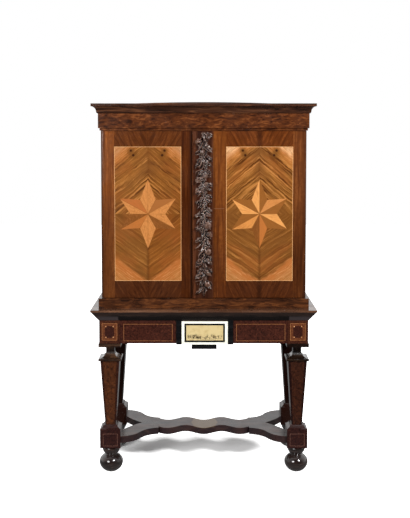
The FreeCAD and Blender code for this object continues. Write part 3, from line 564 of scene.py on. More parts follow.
def legFinish():
    # burr down the middle of each face, darker crossbanding at both edges
    f = Finish("legWalnut", specular=0.3, coat=0.5)
    front, back = nodeMiddle("leg_shaft_front_left"), nodeMiddle("leg_shaft_back_left")
    foot = nodeHigh("leg_blocks").z
    taper = (standWood["legHalfTop"] - standWood["legHalfFoot"]) / (nodeLow("leg_capitals").z - foot)
    half = (f.z - foot) * taper + standWood["legHalfFoot"]
    awayX = f.x.away().away(abs(front.x))
    awayY = f.y.away(front.y).calc("MINIMUM", f.y.away(back.y))
    # on a face the nearer edge is the smaller of the two distances
    share = awayX.calc("MINIMUM", awayY) / half
    f.colour, swirl = f.burr(standWood["legBurr"], 32, 2)
    banding = f.grain(*f.along("level"), standWood["band"], bands=70, run=10, warp=0.4, seed=5)[0]
    edge = share.rise(0.66, 0.78)
    f.lay(shade(standWood["band"][0], 0.95), edge)
    f.lay(banding, edge * 0.35)
    # the right-hand legs are painted darker than the left ones: painted shade
    f.lay(standWood["rightLegShade"], f.x.over(0), "MULTIPLY")
    # the back legs are painted darker still: painted shade behind the front ones
    f.lay(shade(standWood["band"][0], 0.4), f.y.over(0))
    return f.finish(swirl, polish=(0.12, 0.22))


def burrFinish(name, wood, scale=70, seed=0, backInShade=False):
    f = Finish(name, specular=0.3, coat=0.2)
    f.colour, swirl = f.burr(wood, scale, seed)
    if backInShade:
        # the back blocks are painted darker: painted shade
        f.lay(shade(standWood["band"][0], 0.8), f.y.over(0))
    return f.finish(swirl, polish=(0.16, 0.28))


def ebonisedFinish(name, wood, seed=0, polish=(0.12, 0.28), coat=0.6, edge=0.0015, rightShade=None):
    f = Finish(name, coat=coat)
    f.colour, pores = f.grain(*f.along("level"), wood, bands=70, run=9, warp=0.8, seed=seed)
    f.lay(wood[2], f.cloud(34, 4, 0.6).rise(0.58, 0.72, 0.5))
    if rightShade is not None:
        # the right-hand side is painted darker: painted shade
        f.lay((rightShade, rightShade, rightShade, 1), f.x.over(0), "MULTIPLY")
    return f.finish(pores, polish=polish, edge=edge)


def mouldingFinish():
    # black polish, worn to brown along the upper edge; its lower half is painted black as painted shade
    # between the posts and grey as painted reflection over the posts
    f = Finish("mouldingWood", specular=0.22)
    low, high = nodeLow("stand_top_moulding").z, nodeHigh("stand_top_moulding").z
    f.colour, pores = f.grain(*f.along("level"), standWood["black"], bands=70, run=9, warp=0.8, seed=4)
    height = (f.z - low) / (high - low)
    reflectedOverPost = f.x.away().rise(*standWood["postReach"])
    lower = f.mix(reflectedOverPost, shade(standWood["black"][0], 0.5), standWood["reflectedOverPost"])
    # painted shade under the stand top between the posts, painted reflection of the floor over them
    f.lay(lower, height.fall(0.3, 0.6, 0.9))
    f.lay(standWood["worn"], height.rise(0.45, 0.95, 0.75))
    return f.finish(pores, polish=(0.14, 0.26), edge=0.0015)


def stretcherFinish():
    # walnut seen from above, its top painted grey as painted reflection of the pale floor and its sides a
    # darker tone, with the paler lozenge let into its middle
    f = Finish("stretcherWalnut", specular=0.3, coat=0.15)
    f.colour, pores = f.grain(*f.along("flat"), standWood["stretcher"], bands=44, run=3, warp=0.8, seed=2)
    plank, top = nodeMiddle("stretcher_plank"), nodeHigh("stretcher_plank").z
    reach = f.x.away(plank.x + 0.004) + f.y.away(plank.y) * 0.25
    onTop = f.z.rise(top - 0.003, top - 0.001)
    f.lay(standWood["stretcherWarm"], f.noise((f.x * 9, f.y * 14, 2), 3, 0.6).rise(0.42, 0.64, 0.6))
    murk = f.cloud(11, 4, 0.62, 0.6)
    f.lay(standWood["stretcherMurk"], murk.fall(0.38, 0.52, 0.6))
    # the sides take a darker tone than the top, whose grey is painted reflection
    f.lay(standWood["stretcherEdge"], onTop.fall(0, 1, 0.5))
    f.lay(standWood["stretcherPatch"], reach.fall(0.066, 0.076, 0.85) * onTop)
    return f.finish(pores, polish=(0.26, 0.38))


places = ("front_left", "front_right", "back_left", "back_right")
dress(legFinish(), " ".join("leg_shaft_" + place for place in places))
dress(burrFinish("blockWalnut", standWood["block"], seed=6, backInShade=True), "leg_blocks")
dress(burrFinish("postWalnut", standWood["band"], seed=3), "corner_posts")
dress(burrFinish("standFriezeBurr", standWood["burr"], 46, 1), "front_rails side_rails drawer_rails")
capitalWood = ebonisedFinish("capitalWood", standWood["capital"], rightShade=standWood["rightCapitalShade"])
dress(capitalWood, "leg_capitals")
dress(mouldingFinish(), "stand_top_moulding")
dress(ebonisedFinish("ebony", standWood["ebony"], seed=7, edge=0.0008),
      "ebony_strips drawer_pull plaque_border")
dress(stretcherFinish(), "stretcher_plank stretcher_fork_left stretcher_fork_right")
dress(burrFinish("drawerFrontWalnut", standWood["burr"], seed=5), "drawer_front")
print("stand woods done")


# Oak inside, iron, brass and bone

innerWood = {
    "oak": tints((92, 60, 34), (136, 96, 58), (166, 124, 82)),
    "iron": ((0.35, tint(48, 42, 38)), (0.55, tint(84, 78, 72)), (0.75, tint(112, 84, 62))),
    "brass": ((0.35, tint(120, 92, 48)), (0.6, tint(188, 152, 84))),
    "ivory": (tint(255, 254, 240), tint(240, 232, 200)),
    "plaque": (tint(216, 194, 140), tint(188, 160, 104)),
}


def oakFinish(name, way, seed):
    f = Finish(name, specular=0.2, roughness=0.62)
    f.colour, pores = f.grain(*f.along(way), innerWood["oak"], bands=66, run=2.2, seed=seed)
    f.lay(shade(innerWood["oak"][0], 0.7), f.cloud(3.5, 3, 0.6).rise(0.5, 0.75, 0.5))
    return f.finish(pores, depth=0.0003)


def metalFinish(name, stops, metallic, scale, polish, depth, edge):
    f = Finish(name, metallic=metallic)
    pitted = f.cloud(scale, 4, 0.6)
    f.colour = f.ramp(pitted, stops)
    f.set("Roughness", pitted.step(0.3, 0.7, *polish))
    return f.finish(pitted, depth=depth, edge=edge)


def boneFinish(name, tones, roughness):
    f = Finish(name, specular=0.4, coat=0.2, roughness=roughness)
    pale, deep = tones
    f.colour = f.mix(f.cloud(40, 3, 0.6).rise(0.45, 0.75, 0.6), pale, deep)
    fine = f.noise((f.x * 1400, f.z * 160, f.y), 2, 0.5)
    f.lay(deep, fine.rise(0.62, 0.72, 0.25))
    return f.finish(fine, depth=0.00005, edge=0.0006)


dress(oakFinish("oakLevel", "flat", 1),
      "carcase_bottom carcase_top shelves drawer_bottom drawer_back back_rail")
dress(oakFinish("oakUpright", "upright", 4), "back_boards left_door_panel right_door_panel")
dress(oakFinish("oakRunners", "upright", 8), "shelf_battens drawer_runners drawer_kickers drawer_sides")
dress(metalFinish("workedIron", innerWood["iron"], 0.85, 180, (0.35, 0.7), 0.0003, 0.0006),
      "left_pivot_pins right_pivot_pins lock_keeper bolt_guides top_bolt bottom_bolt lock_case")
dress(metalFinish("tarnishedBrass", innerWood["brass"], 1, 90, (0.2, 0.5), 0.0001, 0.0005), "lock_bolt")
dress(boneFinish("ivoryBand", innerWood["ivory"], 0.3), "ivory_frame")
dress(boneFinish("plaqueBone", innerWood["plaque"], 0.35), "plaque")
print("oak, metal and bone done")


# Feet: turned again with a fine profile

foot = {"bun": 0.06, "centre": 0.05, "lowerReach": 0.053, "upperReach": 0.046, "neck": 0.03, "neckTop": 0.092,
        "cup": 0.045, "cupEdge": 0.118, "cupSwell": 0.003, "lip": 0.009, "collar": 0.039, "height": 0.133,
        "soft": 0.0008, "sides": 72}


def footProfile():
    # flattened ball, neck, round-bottomed cup with a straight lip, and a short collar
    start = -asin(foot["centre"] / foot["lowerReach"])
    end = acos(foot["neck"] / foot["bun"])
    profile = [(0, 0)]
    for step in range(-14, 15):
        angle, reach = (start * -step / 14, "lowerReach") if step < 0 else (end * step / 14, "upperReach")
        height = foot["centre"] + foot[reach] * sin(angle)
        profile.append((foot["bun"] * cos(angle), max(height, 0)))
    rise = foot["cupEdge"] - foot["neckTop"]
    for step in range(11):
        share = step / 10
        swell = foot["cupSwell"] * sin(pi * share)
        radius = foot["neck"] + (foot["cup"] - foot["neck"]) * share + swell
        profile.append((radius, foot["neckTop"] + rise * share - swell * 0.5))
    soft = foot["soft"]
    lipTop = foot["cupEdge"] + foot["lip"]
    profile += [(foot["cup"], lipTop - soft), (foot["cup"] - soft, lipTop), (foot["collar"] + soft, lipTop),
                (foot["collar"], lipTop + soft), (foot["collar"], foot["height"] - soft),
                (foot["collar"] - soft, foot["height"]), (0, foot["height"])]
    return profile


footWood = ebonisedFinish("footWood", standWood["foot"], seed=11, polish=(0.08, 0.2), coat=0.9, edge=0)
for place in places:
    centre = nodeMiddle("bun_foot_" + place)
    rings = [[(centre.x + radius * u, centre.y + radius * v, height)
              for u, v in roundTurn(foot["sides"])] for radius, height in footProfile()]
    piece = pieceFrom("turnedFoot_" + place, meshOf(lambda work: skin(work, rings)), footWood, "cabinet",
                      "ebonised_wood")
    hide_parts("bun_foot_" + place)
print("feet turned")


# Stringing and inlay, laid a hair proud of the veneer

inlay = {"proud": 0.0002, "depth": 0.0004, "line": 0.0015, "postLine": 0.0017, "blockLine": 0.0014,
         "panelLine": 0.0026, "dotSides": 14, "incurve": 0.008}


def outline(halfWidth, halfHeight, incurve=0):
    # rectangle; incurve takes a quarter circle out of each corner
    w, h = halfWidth, halfHeight
    if not incurve:
        return [(-w, -h), (w, -h), (w, h), (-w, h)]
    points = []
    for cx, cz, start in ((-w, -h, 90), (w, -h, 180), (w, h, 270), (-w, h, 0)):
        for step in range(7):
            angle = radians(start - 90 * step / 6)
            points.append((cx + incurve * cos(angle), cz + incurve * sin(angle)))
    return points


def stringRing(work, x, z, halfWidth, halfHeight, width, face):
    # flat ring in the front plane
    outer = outline(halfWidth + width / 2, halfHeight + width / 2)
    inner = outline(halfWidth - width / 2, halfHeight - width / 2)
    front, back = face - inlay["proud"], face + inlay["depth"]
    loops = ((outer, back), (outer, front), (inner, front), (inner, back), (outer, back))
    skin(work, [[(x + u, y, z + v) for u, v in points] for points, y in loops])


def inlaid(work, x, z, points, face, proud):
    # thin plate or disc with the given outline
    levels = (face + inlay["depth"], face - inlay["proud"] * proud)
    skin(work, [[(x + u, y, z + v) for u, v in points] for y in levels], capped=True)


def paleWood(name, light, deep):
    f = Finish(name, specular=0.35, coat=0.2, roughness=0.35)
    f.colour, pores = f.grain(f.x + f.z, f.z + f.x * -1, (deep, light, shade(light, 1.1)), bands=120,
                              run=60, fibre=0.15)
    return f.finish(pores, depth=0.00005, edge=0)


boxwood = paleWood("boxwoodStringing", tint(176, 114, 66), tint(138, 82, 44))
boxwoodPale = paleWood("boxwoodDots", tint(226, 164, 112), tint(196, 134, 84))
boxwoodDim = paleWood("boxwoodDim", tint(132, 92, 78), tint(104, 66, 52))
panelStringing = paleWood("panelStringing", tint(214, 160, 104), tint(178, 122, 72))

for side in ("left", "right"):
    low, high = nodeLow(side + "_door_veneer"), nodeHigh(side + "_door_veneer")
    middle = (low + high) / 2
    half = (high - low) / 2
    line = inlay["panelLine"]
    shape = (middle.x, middle.z, half.x - line / 2, half.z - line / 2, line, low.y)
    mesh = meshOf(lambda work: stringRing(work, *shape))
    pieceFrom("panelStringing_" + side, mesh, panelStringing, side + "_door", "star_fruitwood", smooth=False)

railFace = nodeLow("front_rails").y
postFace = nodeLow("corner_posts").y
postX = nodeHigh("leg_shaft_front_right").x - standWood["legHalfTop"]
postZ = nodeLow("corner_posts").z + 0.0595
railZ = nodeLow("front_rails").z + 0.0555
blockZ = nodeLow("leg_blocks").z + 0.043
# centre and half sizes of the lines on the rails; half sizes of those on posts and blocks
frontLines = {"rails": ((-0.281, 0.1225, 0.0425), (0.288, 0.1225, 0.0425)), "post": (0.0375, 0.0425),
              "eye": (0.0235, 0.030), "dot": (0.0185, 0.0275, 0.0028), "block": (0.036, 0.031)}


def standLines(work):
    for x, halfWidth, halfHeight in frontLines["rails"]:
        stringRing(work, x, railZ, halfWidth, halfHeight, inlay["line"], railFace)
    for x in (-postX, postX):
        stringRing(work, x, postZ, *frontLines["post"], inlay["postLine"], postFace)


def onPosts(build):
    # the same work at the left and the right post
    return lambda work: [build(work, x) for x in (-postX, postX)]


def cornerDots(work, x):
    dotX, dotZ, radius = frontLines["dot"]
    points = [(radius * u, radius * v) for u, v in roundTurn(inlay["dotSides"])]
    for sideways, upward in ((-1, -1), (-1, 1), (1, -1), (1, 1)):
        inlaid(work, x + sideways * dotX, postZ + upward * dotZ, points, postFace, 1.5)


def blockLines(work, x):
    stringRing(work, x, blockZ, *frontLines["block"], inlay["blockLine"], postFace)


def cornerEyes(work, x):
    inlaid(work, x, postZ, outline(*frontLines["eye"], inlay["incurve"]), postFace, 0.6)


def cornerGrounds(work, x):
    inlaid(work, x, postZ, outline(*frontLines["post"]), postFace + 0.00005, 0.6)


cornerGround = burrFinish("cornerGround", tints((60, 30, 18), (98, 54, 32), (128, 76, 46)), 90, 9)
cornerEye = burrFinish("cornerEye", tints((34, 16, 14), (54, 26, 20), (76, 38, 28)), 120, 4)
for name, build, finish, slot in (
        ("standStringing", standLines, boxwood, "star_fruitwood"),
        ("blockStringing", onPosts(blockLines), boxwoodDim, "star_fruitwood"),
        ("cornerInlayGround", onPosts(cornerGrounds), cornerGround, "walnut_veneer"),
        ("cornerInlayEye", onPosts(cornerEyes), cornerEye, "dark_walnut"),
        ("cornerInlayDots", onPosts(cornerDots), boxwoodPale, "star_fruitwood")):
    pieceFrom(name, meshOf(build), finish, "cabinet", slot, smooth=False)
print("stringing laid")


# Engraving on the drawer's plaque: low hills with tufts of grass under a plain sky

engraving = {"seed": 41, "line": 0.0007, "tufts": 40, "hills": 3, "level": 0.09, "step": 0.07,
             "proud": 0.00012}


def inkStroke(work, points, width, y):
    rows = []
    for index, (x, z) in enumerate(points):
        before = points[max(index - 1, 0)]
        after = points[min(index + 1, len(points) - 1)]
        run = Vector((after[0] - before[0], after[1] - before[1]))
        run.normalize()
        taper = width / 2 * (0.35 + 0.65 * sin(pi * (index + 0.5) / len(points)))
        rows.append([work.verts.new((x - run.y * taper, y, z + run.x * taper)),
                     work.verts.new((x + run.y * taper, y, z - run.x * taper))])
    for first, second in zip(rows, rows[1:]):
        work.faces.new([first[0], first[1], second[1], second[0]])


def engravedScene(work):
    chance = random.Random(engraving["seed"])
    low, high = nodeLow("plaque"), nodeHigh("plaque")
    y = low.y - engraving["proud"]
    line = engraving["line"]

    def place(u, v):
        return low.x + (high.x - low.x) * u, low.z + (high.z - low.z) * v

    def hill(index, u):
        level = engraving["level"] + engraving["step"] * index
        return level + 0.04 * sin(2 * pi * (u * (1.3 + 0.4 * index) + 0.3 * index))

    for index in range(engraving["hills"]):
        ridge = [place(0.03 + 0.94 * s / 40, hill(index, s / 40)) for s in range(41)]
        inkStroke(work, ridge, line * 1.2, y)
        for dash in range(16):
            u = chance.uniform(0.05, 0.9)
            v = hill(index, u) - chance.uniform(0.03, 0.1)
            length = chance.uniform(0.02, 0.06)
            inkStroke(work, [place(u + length * s / 3, v - 0.01 * s) for s in range(4)], line * 0.8, y)
    for tuft in range(engraving["tufts"]):
        u = chance.uniform(0.04, 0.96)
        v = hill(chance.randrange(engraving["hills"]), u)
        tall = chance.uniform(0.1, 0.26)
        for blade in (-2, -1, 0, 1, 2):
            lean = blade * 0.008
            reach = tall * (1 - abs(blade) * 0.12)
            stroke = [place(u + lean * s / 3 * (1 + s / 3), v + reach * s / 3) for s in range(4)]
            inkStroke(work, stroke, line, y)


def inkFinish():
    f = Finish("engravedLines", specular=0.2, roughness=0.6)
    worn = f.cloud(300, 3, 0.6)
    f.colour = f.mix(worn.rise(0.5, 0.75, 0.5), tint(70, 52, 30), tint(140, 112, 70))
    return f.finish(edge=0)


pieceFrom("plaqueEngraving", meshOf(engravedScene, mend=False), inkFinish(), "frieze_drawer", "plaque_ground",
          smooth=False)
print("plaque engraved")


# Carved garland: leaves, fruit, berries, pods, stalks and scrolls hanging down the meeting strip

garland = {"halfWidth": 0.043, "freeWidth": 0.036, "relief": 0.021, "freeRelief": 0.015, "stemHalf": 0.0085,
           "stemRelief": 0.006, "clusters": 13, "leafLength": 0.064, "leafWidth": 0.025, "roll": 0.009,
           "groove": 0.009, "fruit": 0.0165, "berry": 0.005, "pod": (0.05, 0.0048), "curl": (0.0145, 0.0042),
           "tendril": (0.085, 0.0032), "sag": 0.008, "wood": tints((30, 16, 11), (56, 34, 26), (86, 58, 46)),
           # the last two colours are painted shade for the hollows and painted highlight for the heights
           "hollow": tint(10, 4, 2), "heightHighlight": tint(148, 118, 102)}
garlandLow, garlandHigh = nodeLow("carved_garland"), nodeHigh("carved_garland")
garlandX = nodeMiddle("carved_garland").x
garlandBack = garlandHigh.y
# place across, height above the strip's foot, size and turn in degrees of each large motif
garlandPlan = {
    "fruit": [(0.021, 0.364, 1.15, 10), (0.021, 0.232, 1, 60), (0.019, 0.067, 0.85, 120),
              (0.012, 0.572, 0.65, 0), (-0.032, 0.604, 0.45, 0), (0.03, 0.118, 0.45, 0),
              (-0.028, 0.101, 0.5, 0)],
    "curl": [(-0.022, 0.186, 1, 160), (0.024, 0.806, 0.9, -20)],
}


def sheetMesh(rows, columns, pointsAt):
    # closed sheet: pointsAt gives the front and the back at t down it and s across it
    def build(work):
        pairs = [[pointsAt(r / (rows - 1), 2 * c / (columns - 1) - 1) for c in range(columns)]
                 for r in range(rows)]
        front, back = [[[work.verts.new(pair[layer]) for pair in row] for row in pairs] for layer in (0, 1)]
        for layer, turned in ((front, False), (back, True)):
            for r in range(rows - 1):
                for c in range(columns - 1):
                    corners = [layer[r][c], layer[r][c + 1], layer[r + 1][c + 1], layer[r + 1][c]]
                    work.faces.new(corners[::-1] if turned else corners)
        border = [(0, c) for c in range(columns)] + [(r, columns - 1) for r in range(1, rows)]
        border += [(rows - 1, c) for c in range(columns - 2, -1, -1)]
        border += [(r, 0) for r in range(rows - 2, 0, -1)]
        for (r, c), (nextR, nextC) in zip(border, border[1:] + border[:1]):
            work.faces.new([front[r][c], back[r][c], back[nextR][nextC], front[nextR][nextC]])
    return meshOf(build)


def leafMesh(length, width, lobes, curl, bend):
    # leaf hanging down -Z from its stalk, its face towards -Y, with rolled edges and a groove down the middle
    def pointsAt(t, s):
        swell = sin(pi * min(1, t ** 0.7)) ** 0.75 if 0 < t < 1 else 0
        lobe = 1 + 0.3 * sin(2 * pi * lobes * t + 0.6)
        x = bend * length * t * t + s * max(width / 2 * swell * lobe, width * 0.02)
        lift = curl * sin(pi * t * 0.8)
        rolled = garland["roll"] * (1 - abs(s) ** 3)
        groove = garland["groove"] * max(0, 1 - abs(s) * 2.1)
        vein = 0.0014 * sin(2 * pi * (t * lobes * 2 - abs(s) * 1.2))
        return ((x, -(lift + (rolled - groove + vein) * swell), -t * length),
                (x, -lift + 0.0025 + 0.002 * swell, -t * length))
    return sheetMesh(20, 11, pointsAt)


def stemX(z):
    return garlandX + garland["sag"] * sin(z * 38) + garland["sag"] * 0.4 * sin(z * 91)


def stemMesh():
    # rounded stem that the foliage hangs on, thicker where the fans of leaves sit
    top, bottom = garlandHigh.z - 0.003, garlandLow.z + 0.003
    spacing = (top - bottom) / garland["clusters"]

    def pointsAt(t, s):
        z = top + (bottom - top) * t
        bulge = 0.5 + 0.5 * cos(2 * pi * ((top - z) / spacing - 0.5))
        ends = min(1, 12 * t + 0.4, 12 * (1 - t) + 0.3)
        x = stemX(z) + s * garland["stemHalf"] * (0.75 + 1.1 * bulge) * ends
        height = garland["stemRelief"] * (0.8 + 0.4 * bulge) * sqrt(max(0, 1 - s * s)) + 0.0006
        fold = 0.0012 * sin((s + 1) * 11.4 + t * 70) * (1 - s * s)
        return (x, garlandBack - height - fold, z), (x, garlandBack + 0.0008, z)
    return sheetMesh(150, 13, pointsAt)


def fruitMesh(radius, furrow, stretch, detail):
    def build(work):
        bmesh.ops.create_icosphere(work, subdivisions=detail, radius=radius)
        for vertex in work.verts:
            direction = vertex.co.normalized()
            angle = atan2(direction.x, direction.z)
            rim = hypot(direction.x, direction.z)
            dent = furrow * radius * max(0, 1 - rim * 3.2)
            crease = furrow * radius * 0.4 * max(0, 1 - abs(angle - 0.4) * 4) * rim
            vertex.co = direction * (radius - dent - crease)
            vertex.co.z *= stretch
            vertex.co.y *= 0.82
    return meshOf(build)


def tubeMesh(count, sides, spine):
    # tube along a spine, which gives its centre and the two half axes of its section at t
    def build(work):
        rings = []
        for r in range(count):
            centre, first, second = spine(r / (count - 1))
            rings.append([centre + first * u + second * v for u, v in roundTurn(sides)])
        skin(work, rings, capped=True)
    return meshOf(build)


def podMesh(length, radius, beads=4):
    # pea pod: a spindle with a row of swellings
    def spine(t):
        bead = 1 + 0.16 * cos(2 * pi * beads * t)
        size = radius * sin(pi * (0.03 + 0.94 * t)) ** 0.7 * bead
        centre = Vector((0.006 * sin(pi * t), 0, -t * length))
        return centre, Vector((size, 0, 0)), Vector((0, -0.9 * size, 0))
    return tubeMesh(22, 10, spine)


def curlMesh(radius, thick, turns=1.35):
    # scroll: a tapering tube wound in the front plane
    def spine(t):
        angle = turns * 2 * pi * t
        outward = Vector((cos(angle), 0, sin(angle)))
        size = thick * (0.35 + 0.65 * sin(pi * (0.15 + 0.8 * t)))
        centre = outward * radius * (1 - 0.82 * t) + Vector((0, -0.003 * t, 0))
        return centre, outward * size, Vector((0, -1.3 * size, 0))
    return tubeMesh(44, 9, spine)


def tendrilMesh(length, thick):
    # stalk swaying to both sides, thin at its ends
    def spine(t):
        size = thick * (0.25 + 0.75 * sin(pi * (0.08 + 0.86 * t)))
        sway = 0.13 * length * sin(2 * pi * t)
        centre = Vector((sway, -0.004 * sin(pi * t), -t * length))
        return centre, Vector((size, 0, 0)), Vector((0, -1.2 * size, 0))
    return tubeMesh(30, 8, spine)


def carvedFinish():
    # painted shade in the hollows and painted highlight on the heights, both from ambient occlusion
    f = Finish("carvedWalnut", specular=0.7, coat=1)
    f.set("Specular Tint", (1, 0.88, 0.82, 1))
    f.set("Coat Tint", (1, 0.9, 0.86, 1))
    f.colour, pores = f.grain(f.x, f.z, garland["wood"], bands=60, run=12, warp=1)
    exposed = f.node("AmbientOcclusion", named={"Distance": 0.012}, output="AO", samples=6)
    # painted shade where the carving is occluded
    f.lay(garland["hollow"], exposed.fall(0.52, 0.95, 1))
    # painted highlight on the open heights
    f.lay(garland["heightHighlight"], exposed.rise(0.9, 1, 0.36))
    return f.finish(pores, polish=(0.08, 0.19), edge=0)


# inputs of the tree that aren't plain numbers, and the columns of the table that feeds it
growthKinds = {"Geometry": "Geometry", "Motif": "Object", "Finish": "Material", "Clusters": "Int",
               "Per": "Int", "Seed": "Int"}
growthColumns = ("Clusters", "Per", "Top", "Length", "Reach", "Spread", "Lift", "Turn", "Fan", "Loose",
                 "Twist", "Size Min", "Size Max", "Seed")


def growTree():
    # fans of one motif down the strip: Per in each of Clusters fans, turned, tipped and sized by chance
    tree = bpy.data.node_groups.new("growDownStrip", "GeometryNodeTree")
    sockets = {}
    for name in ("Geometry", "Motif", "Finish", "Centre", "Back", *growthColumns):
        kind = growthKinds.get(name, "Float")
        socket = tree.interface.new_socket(name=name, in_out="INPUT", socket_type="NodeSocket" + kind)
        sockets[name] = socket.identifier
    tree.interface.new_socket(name="Geometry", in_out="OUTPUT", socket_type="NodeSocketGeometry")
    start = tree.nodes.new("NodeGroupInput").outputs
    node = partial(valueOf, tree)
    given = {name: Value(tree, start[name]) for name in sockets}

    def chance(low, high, extra):
        sockets = {2: low, 3: high, "Seed": given["Seed"] + extra}
        return node("FunctionNodeRandomValue", named=sockets, output=1, data_type="FLOAT")

    line = node("GeometryNodeMeshLine", named={"Count": given["Clusters"] * given["Per"]})
    index = node("GeometryNodeInputIndex")
    cluster = ((index + 0.01) / given["Per"]).calc("FLOOR")
    member = index.calc("MODULO", given["Per"])
    z = given["Top"] - (cluster + 0.5) / given["Clusters"] * given["Length"]
    z = z + given["Spread"] * chance(-1, 1, 11)
    fan = member * 2 / (given["Per"] - 1).calc("MAXIMUM", 1) - 1
    x = fan * given["Reach"] + given["Spread"] * chance(-1, 1, 23) + given["Centre"]
    spot = node("CombineXYZ", x, given["Back"] - given["Lift"], z)
    place = node("GeometryNodeSetPosition", line, named={"Position": spot})
    picked = {"Object": given["Motif"], "As Instance": True}
    motif = node("GeometryNodeObjectInfo", named=picked, output="Geometry")
    opened = fan * given["Fan"] + given["Loose"] * chance(-1, 1, 37) + given["Turn"]
    twist = given["Twist"] * chance(-1, 1, 53)
    turn = node("CombineXYZ", chance(-0.06, 0.12, 41), opened * -1, twist)
    rotation = node("FunctionNodeEulerToRotation", turn)
    size = chance(given["Size Min"], given["Size Max"], 61)
    held = {"Instance": motif, "Rotation": rotation, "Scale": size}
    spread = node("GeometryNodeInstanceOnPoints", place, named=held)
    real = node("GeometryNodeRealizeInstances", spread)
    painted = node("GeometryNodeSetMaterial", real, named={"Material": given["Finish"]})
    addNode(tree, "NodeGroupOutput", painted)
    return tree, sockets


def grown(tree, sockets, motif, finish, row):
    # runs the tree on a motif mesh with a row of values and returns the plain mesh
    source, host = linked("motif", motif), linked("host", bpy.data.meshes.new("host"))
    modifier = host.modifiers.new("grow", "NODES")
    modifier.node_group = tree
    values = {"Motif": source, "Finish": finish, "Centre": garlandX, "Back": garlandBack,
              **dict(zip(growthColumns, row))}
    for name, value in values.items():
        modifier[sockets[name]] = value
    bpy.context.view_layer.update()
    result = bpy.data.meshes.new_from_object(host.evaluated_get(bpy.context.evaluated_depsgraph_get()))
    host.modifiers.remove(modifier)
    bpy.data.objects.remove(host)
    bpy.data.objects.remove(source)
    return result


carved = carvedFinish()
tree, sockets = growTree()
top = garlandHigh.z - 0.004
drop = garlandHigh.z - garlandLow.z - 0.03
long, wide, fans = garland["leafLength"], garland["leafWidth"], garland["clusters"]
leafPlace, leafTurn = (0.009, 0.003, 0.001), (0.4, 0.15, 0.6, 0.75, 1.0)
growth = [
    (leafMesh(long, wide, 3, 0.004, 0.3), (fans, 3, top + 0.03, drop, *leafPlace, 0.5, *leafTurn, 3)),
    (leafMesh(long, wide, 3, 0.004, -0.3), (fans, 3, top, drop, *leafPlace, -0.5, *leafTurn, 5)),
    (leafMesh(long * 0.75, wide * 0.9, 2, 0.006, 0.1),
     (fans - 2, 2, top - 0.01, drop - 0.03, 0.01, 0.006, 0.005, 0.1, 0.5, 0.4, 0.4, 0.7, 1.0, 17)),
    (tendrilMesh(*garland["tendril"]),
     (fans - 4, 1, top - 0.02, drop - 0.06, 0.012, 0.012, 0.009, 0.0, 0.35, 0.5, 0.2, 0.8, 1.0, 23)),
    (fruitMesh(garland["berry"], 0.1, 1.0, 1),
     (fans - 3, 2, top - 0.02, drop - 0.03, 0.026, 0.01, 0.0095, 0.0, 0.5, 0.5, 0.5, 0.7, 1.1, 31)),
    (podMesh(*garland["pod"]),
     (fans - 8, 1, top - 0.06, drop - 0.1, 0.014, 0.012, 0.009, 0.0, 0.6, 0.6, 0.3, 0.8, 1.0, 59)),
]
whole = bmesh.new()
whole.from_mesh(stemMesh())
for motif, row in growth:
    whole.from_mesh(grown(tree, sockets, motif, carved, row))
motifs = {"fruit": (fruitMesh(garland["fruit"], 0.35, 1.12, 3), 0.007),
          "curl": (curlMesh(*garland["curl"]), 0.0095)}
for kind, (motif, lift) in motifs.items():
    for x, z, size, turn in garlandPlan[kind]:
        placed = motif.copy()
        placed.transform(Matrix.Translation((garlandX + x, garlandBack - lift, garlandLow.z + z))
                         @ Matrix.Rotation(radians(turn), 4, "Y") @ Matrix.Scale(size, 4))
        whole.from_mesh(placed)


def eased(value, free, limit):
    # what passes free is pressed together, so that it stays under limit
    if value <= free:
        return value
    return free + (limit - free) * tanh((value - free) / (limit - free))


# the foliage keeps inside the strip and its relief
for vertex in whole.verts:
    x, y, z = vertex.co
    reach = eased(abs(x - garlandX), garland["freeWidth"], garland["halfWidth"])
    proud = eased(garlandBack - y, garland["freeRelief"], garland["relief"])
    vertex.co = (garlandX + copysign(reach, x - garlandX), min(garlandBack - proud, garlandBack + 0.001),
                 min(max(z, garlandLow.z), garlandHigh.z))
garlandMesh = bpy.data.meshes.new("carvedGarland")
whole.to_mesh(garlandMesh)
whole.free()
piece = pieceFrom("carvedGarland", garlandMesh, carved, "right_door", "carved_wood")
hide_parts("carved_garland")
print("garland carved:", len(garlandMesh.polygons), "faces")


# Floor, light and camera

studio = {"key": 225, "keySize": 0.8, "keyPlace": (2.4, -3.9, 3.85), "fill": 100, "fillSize": 1.5,
          "fillPlace": (-2.4, -4, 2.2), "aim": (0, 0, 0.9), "worldLight": 0.22, "floorHalf": 12,
          "floorLight": 0.5, "floorSeen": 1.95, "glowCentre": (-0.1, 0.2), "glowHalf": (0.42, 0.17),
          "glowReach": (0.85, 1.15), "glossFrom": (-0.8, 0.3), "gloss": (0.02, 1),
          "floorGloss": ((-1.1, -0.1), (0.02, 0.2)), "eye": (0, -4.602, 1.732), "tiltDown": 3.43,
          "lens": 61.2, "shiftX": 0.0025, "shiftY": -0.141}
white = (1, 1, 1, 1)


def byRay(tree, shown, gloss, seen):
    # gloss for glossy rays, seen for the camera and through glass, the first shader for all others
    for ray, shader in (("Glossy", gloss), ("Transmission", seen), ("Camera", seen)):
        isRay = valueOf(tree, "LightPath", output="Is " + ray + " Ray")
        shown = valueOf(tree, "MixShader", isRay, shown, shader)
    return shown


def alongY(tree, coordinate):
    place = valueOf(tree, "TexCoord", output=coordinate)
    return valueOf(tree, "SeparateXYZ", place, output="Y")


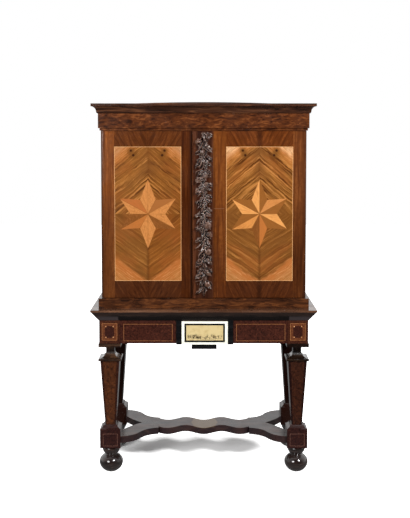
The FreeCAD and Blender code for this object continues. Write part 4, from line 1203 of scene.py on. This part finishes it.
def studioFloor():
    # white to the camera except where the cabinet keeps the light off it; dim in the gloss of the front
    sheet = {"x_segments": 1, "y_segments": 1, "size": studio["floorHalf"]}
    mesh = meshOf(lambda work: bmesh.ops.create_grid(work, **sheet), mend=False)
    floor = linked("studioFloor", mesh)
    made = bpy.data.materials.new("paleFloor")
    made.use_nodes = True
    tree = made.node_tree
    node = partial(valueOf, tree)
    tree.nodes.clear()
    oval = {"Location": (*studio["glowCentre"], 0), "Scale": (*studio["glowHalf"], 1)}
    place = node("TexCoord", output="Object")
    place = node("Mapping", place, named=oval, vector_type="TEXTURE")
    away = node("VectorMath", place, output="Value", operation="LENGTH")
    lit, bright = [node("BsdfDiffuse", (level, level, level, 1))
                   for level in (studio["floorLight"], studio["floorSeen"])]
    glow = node("Emission", white, away.rise(*studio["glowReach"]))
    seen = node("AddShader", bright, glow)
    reach, levels = studio["floorGloss"]
    mirrored = node("Emission", white, alongY(tree, "Object").step(*reach, *levels))
    addNode(tree, "OutputMaterial", byRay(tree, lit, mirrored, seen))
    mesh.materials.append(made)


def studioWorld():
    # white behind the cabinet for the camera and for gloss, dim towards the photographer's side
    world = bpy.data.worlds.new("studio")
    bpy.context.scene.world = world
    world.use_nodes = True
    tree = world.node_tree
    tree.nodes.clear()
    sweep = alongY(tree, "Generated").step(*studio["glossFrom"], *studio["gloss"])
    light, gloss, plain = [valueOf(tree, "Background", white, strength)
                           for strength in (studio["worldLight"], sweep, 1)]
    addNode(tree, "OutputWorld", byRay(tree, light, gloss, plain))


def softLamp(name):
    lamp = bpy.data.lights.new(name + "Light", "AREA")
    lamp.size = studio[name + "Size"]
    lamp.energy = studio[name]
    holder = linked(name + "Light", lamp)
    holder.location = studio[name + "Place"]
    towards = Vector(studio["aim"]) - Vector(studio[name + "Place"])
    holder.rotation_euler = towards.to_track_quat("-Z", "Y").to_euler()


studioFloor()
studioWorld()
softLamp("key")
softLamp("fill")

camera = linked("camera", bpy.data.cameras.new("camera"))
camera.location = studio["eye"]
camera.rotation_euler = Euler((radians(90 - studio["tiltDown"]), 0, 0))
camera.data.sensor_width = 36
camera.data.lens = studio["lens"]
camera.data.shift_x = studio["shiftX"]
camera.data.shift_y = studio["shiftY"]
bpy.context.scene.camera = camera
bpy.context.scene.view_settings.view_transform = "Standard"
print("studio set")
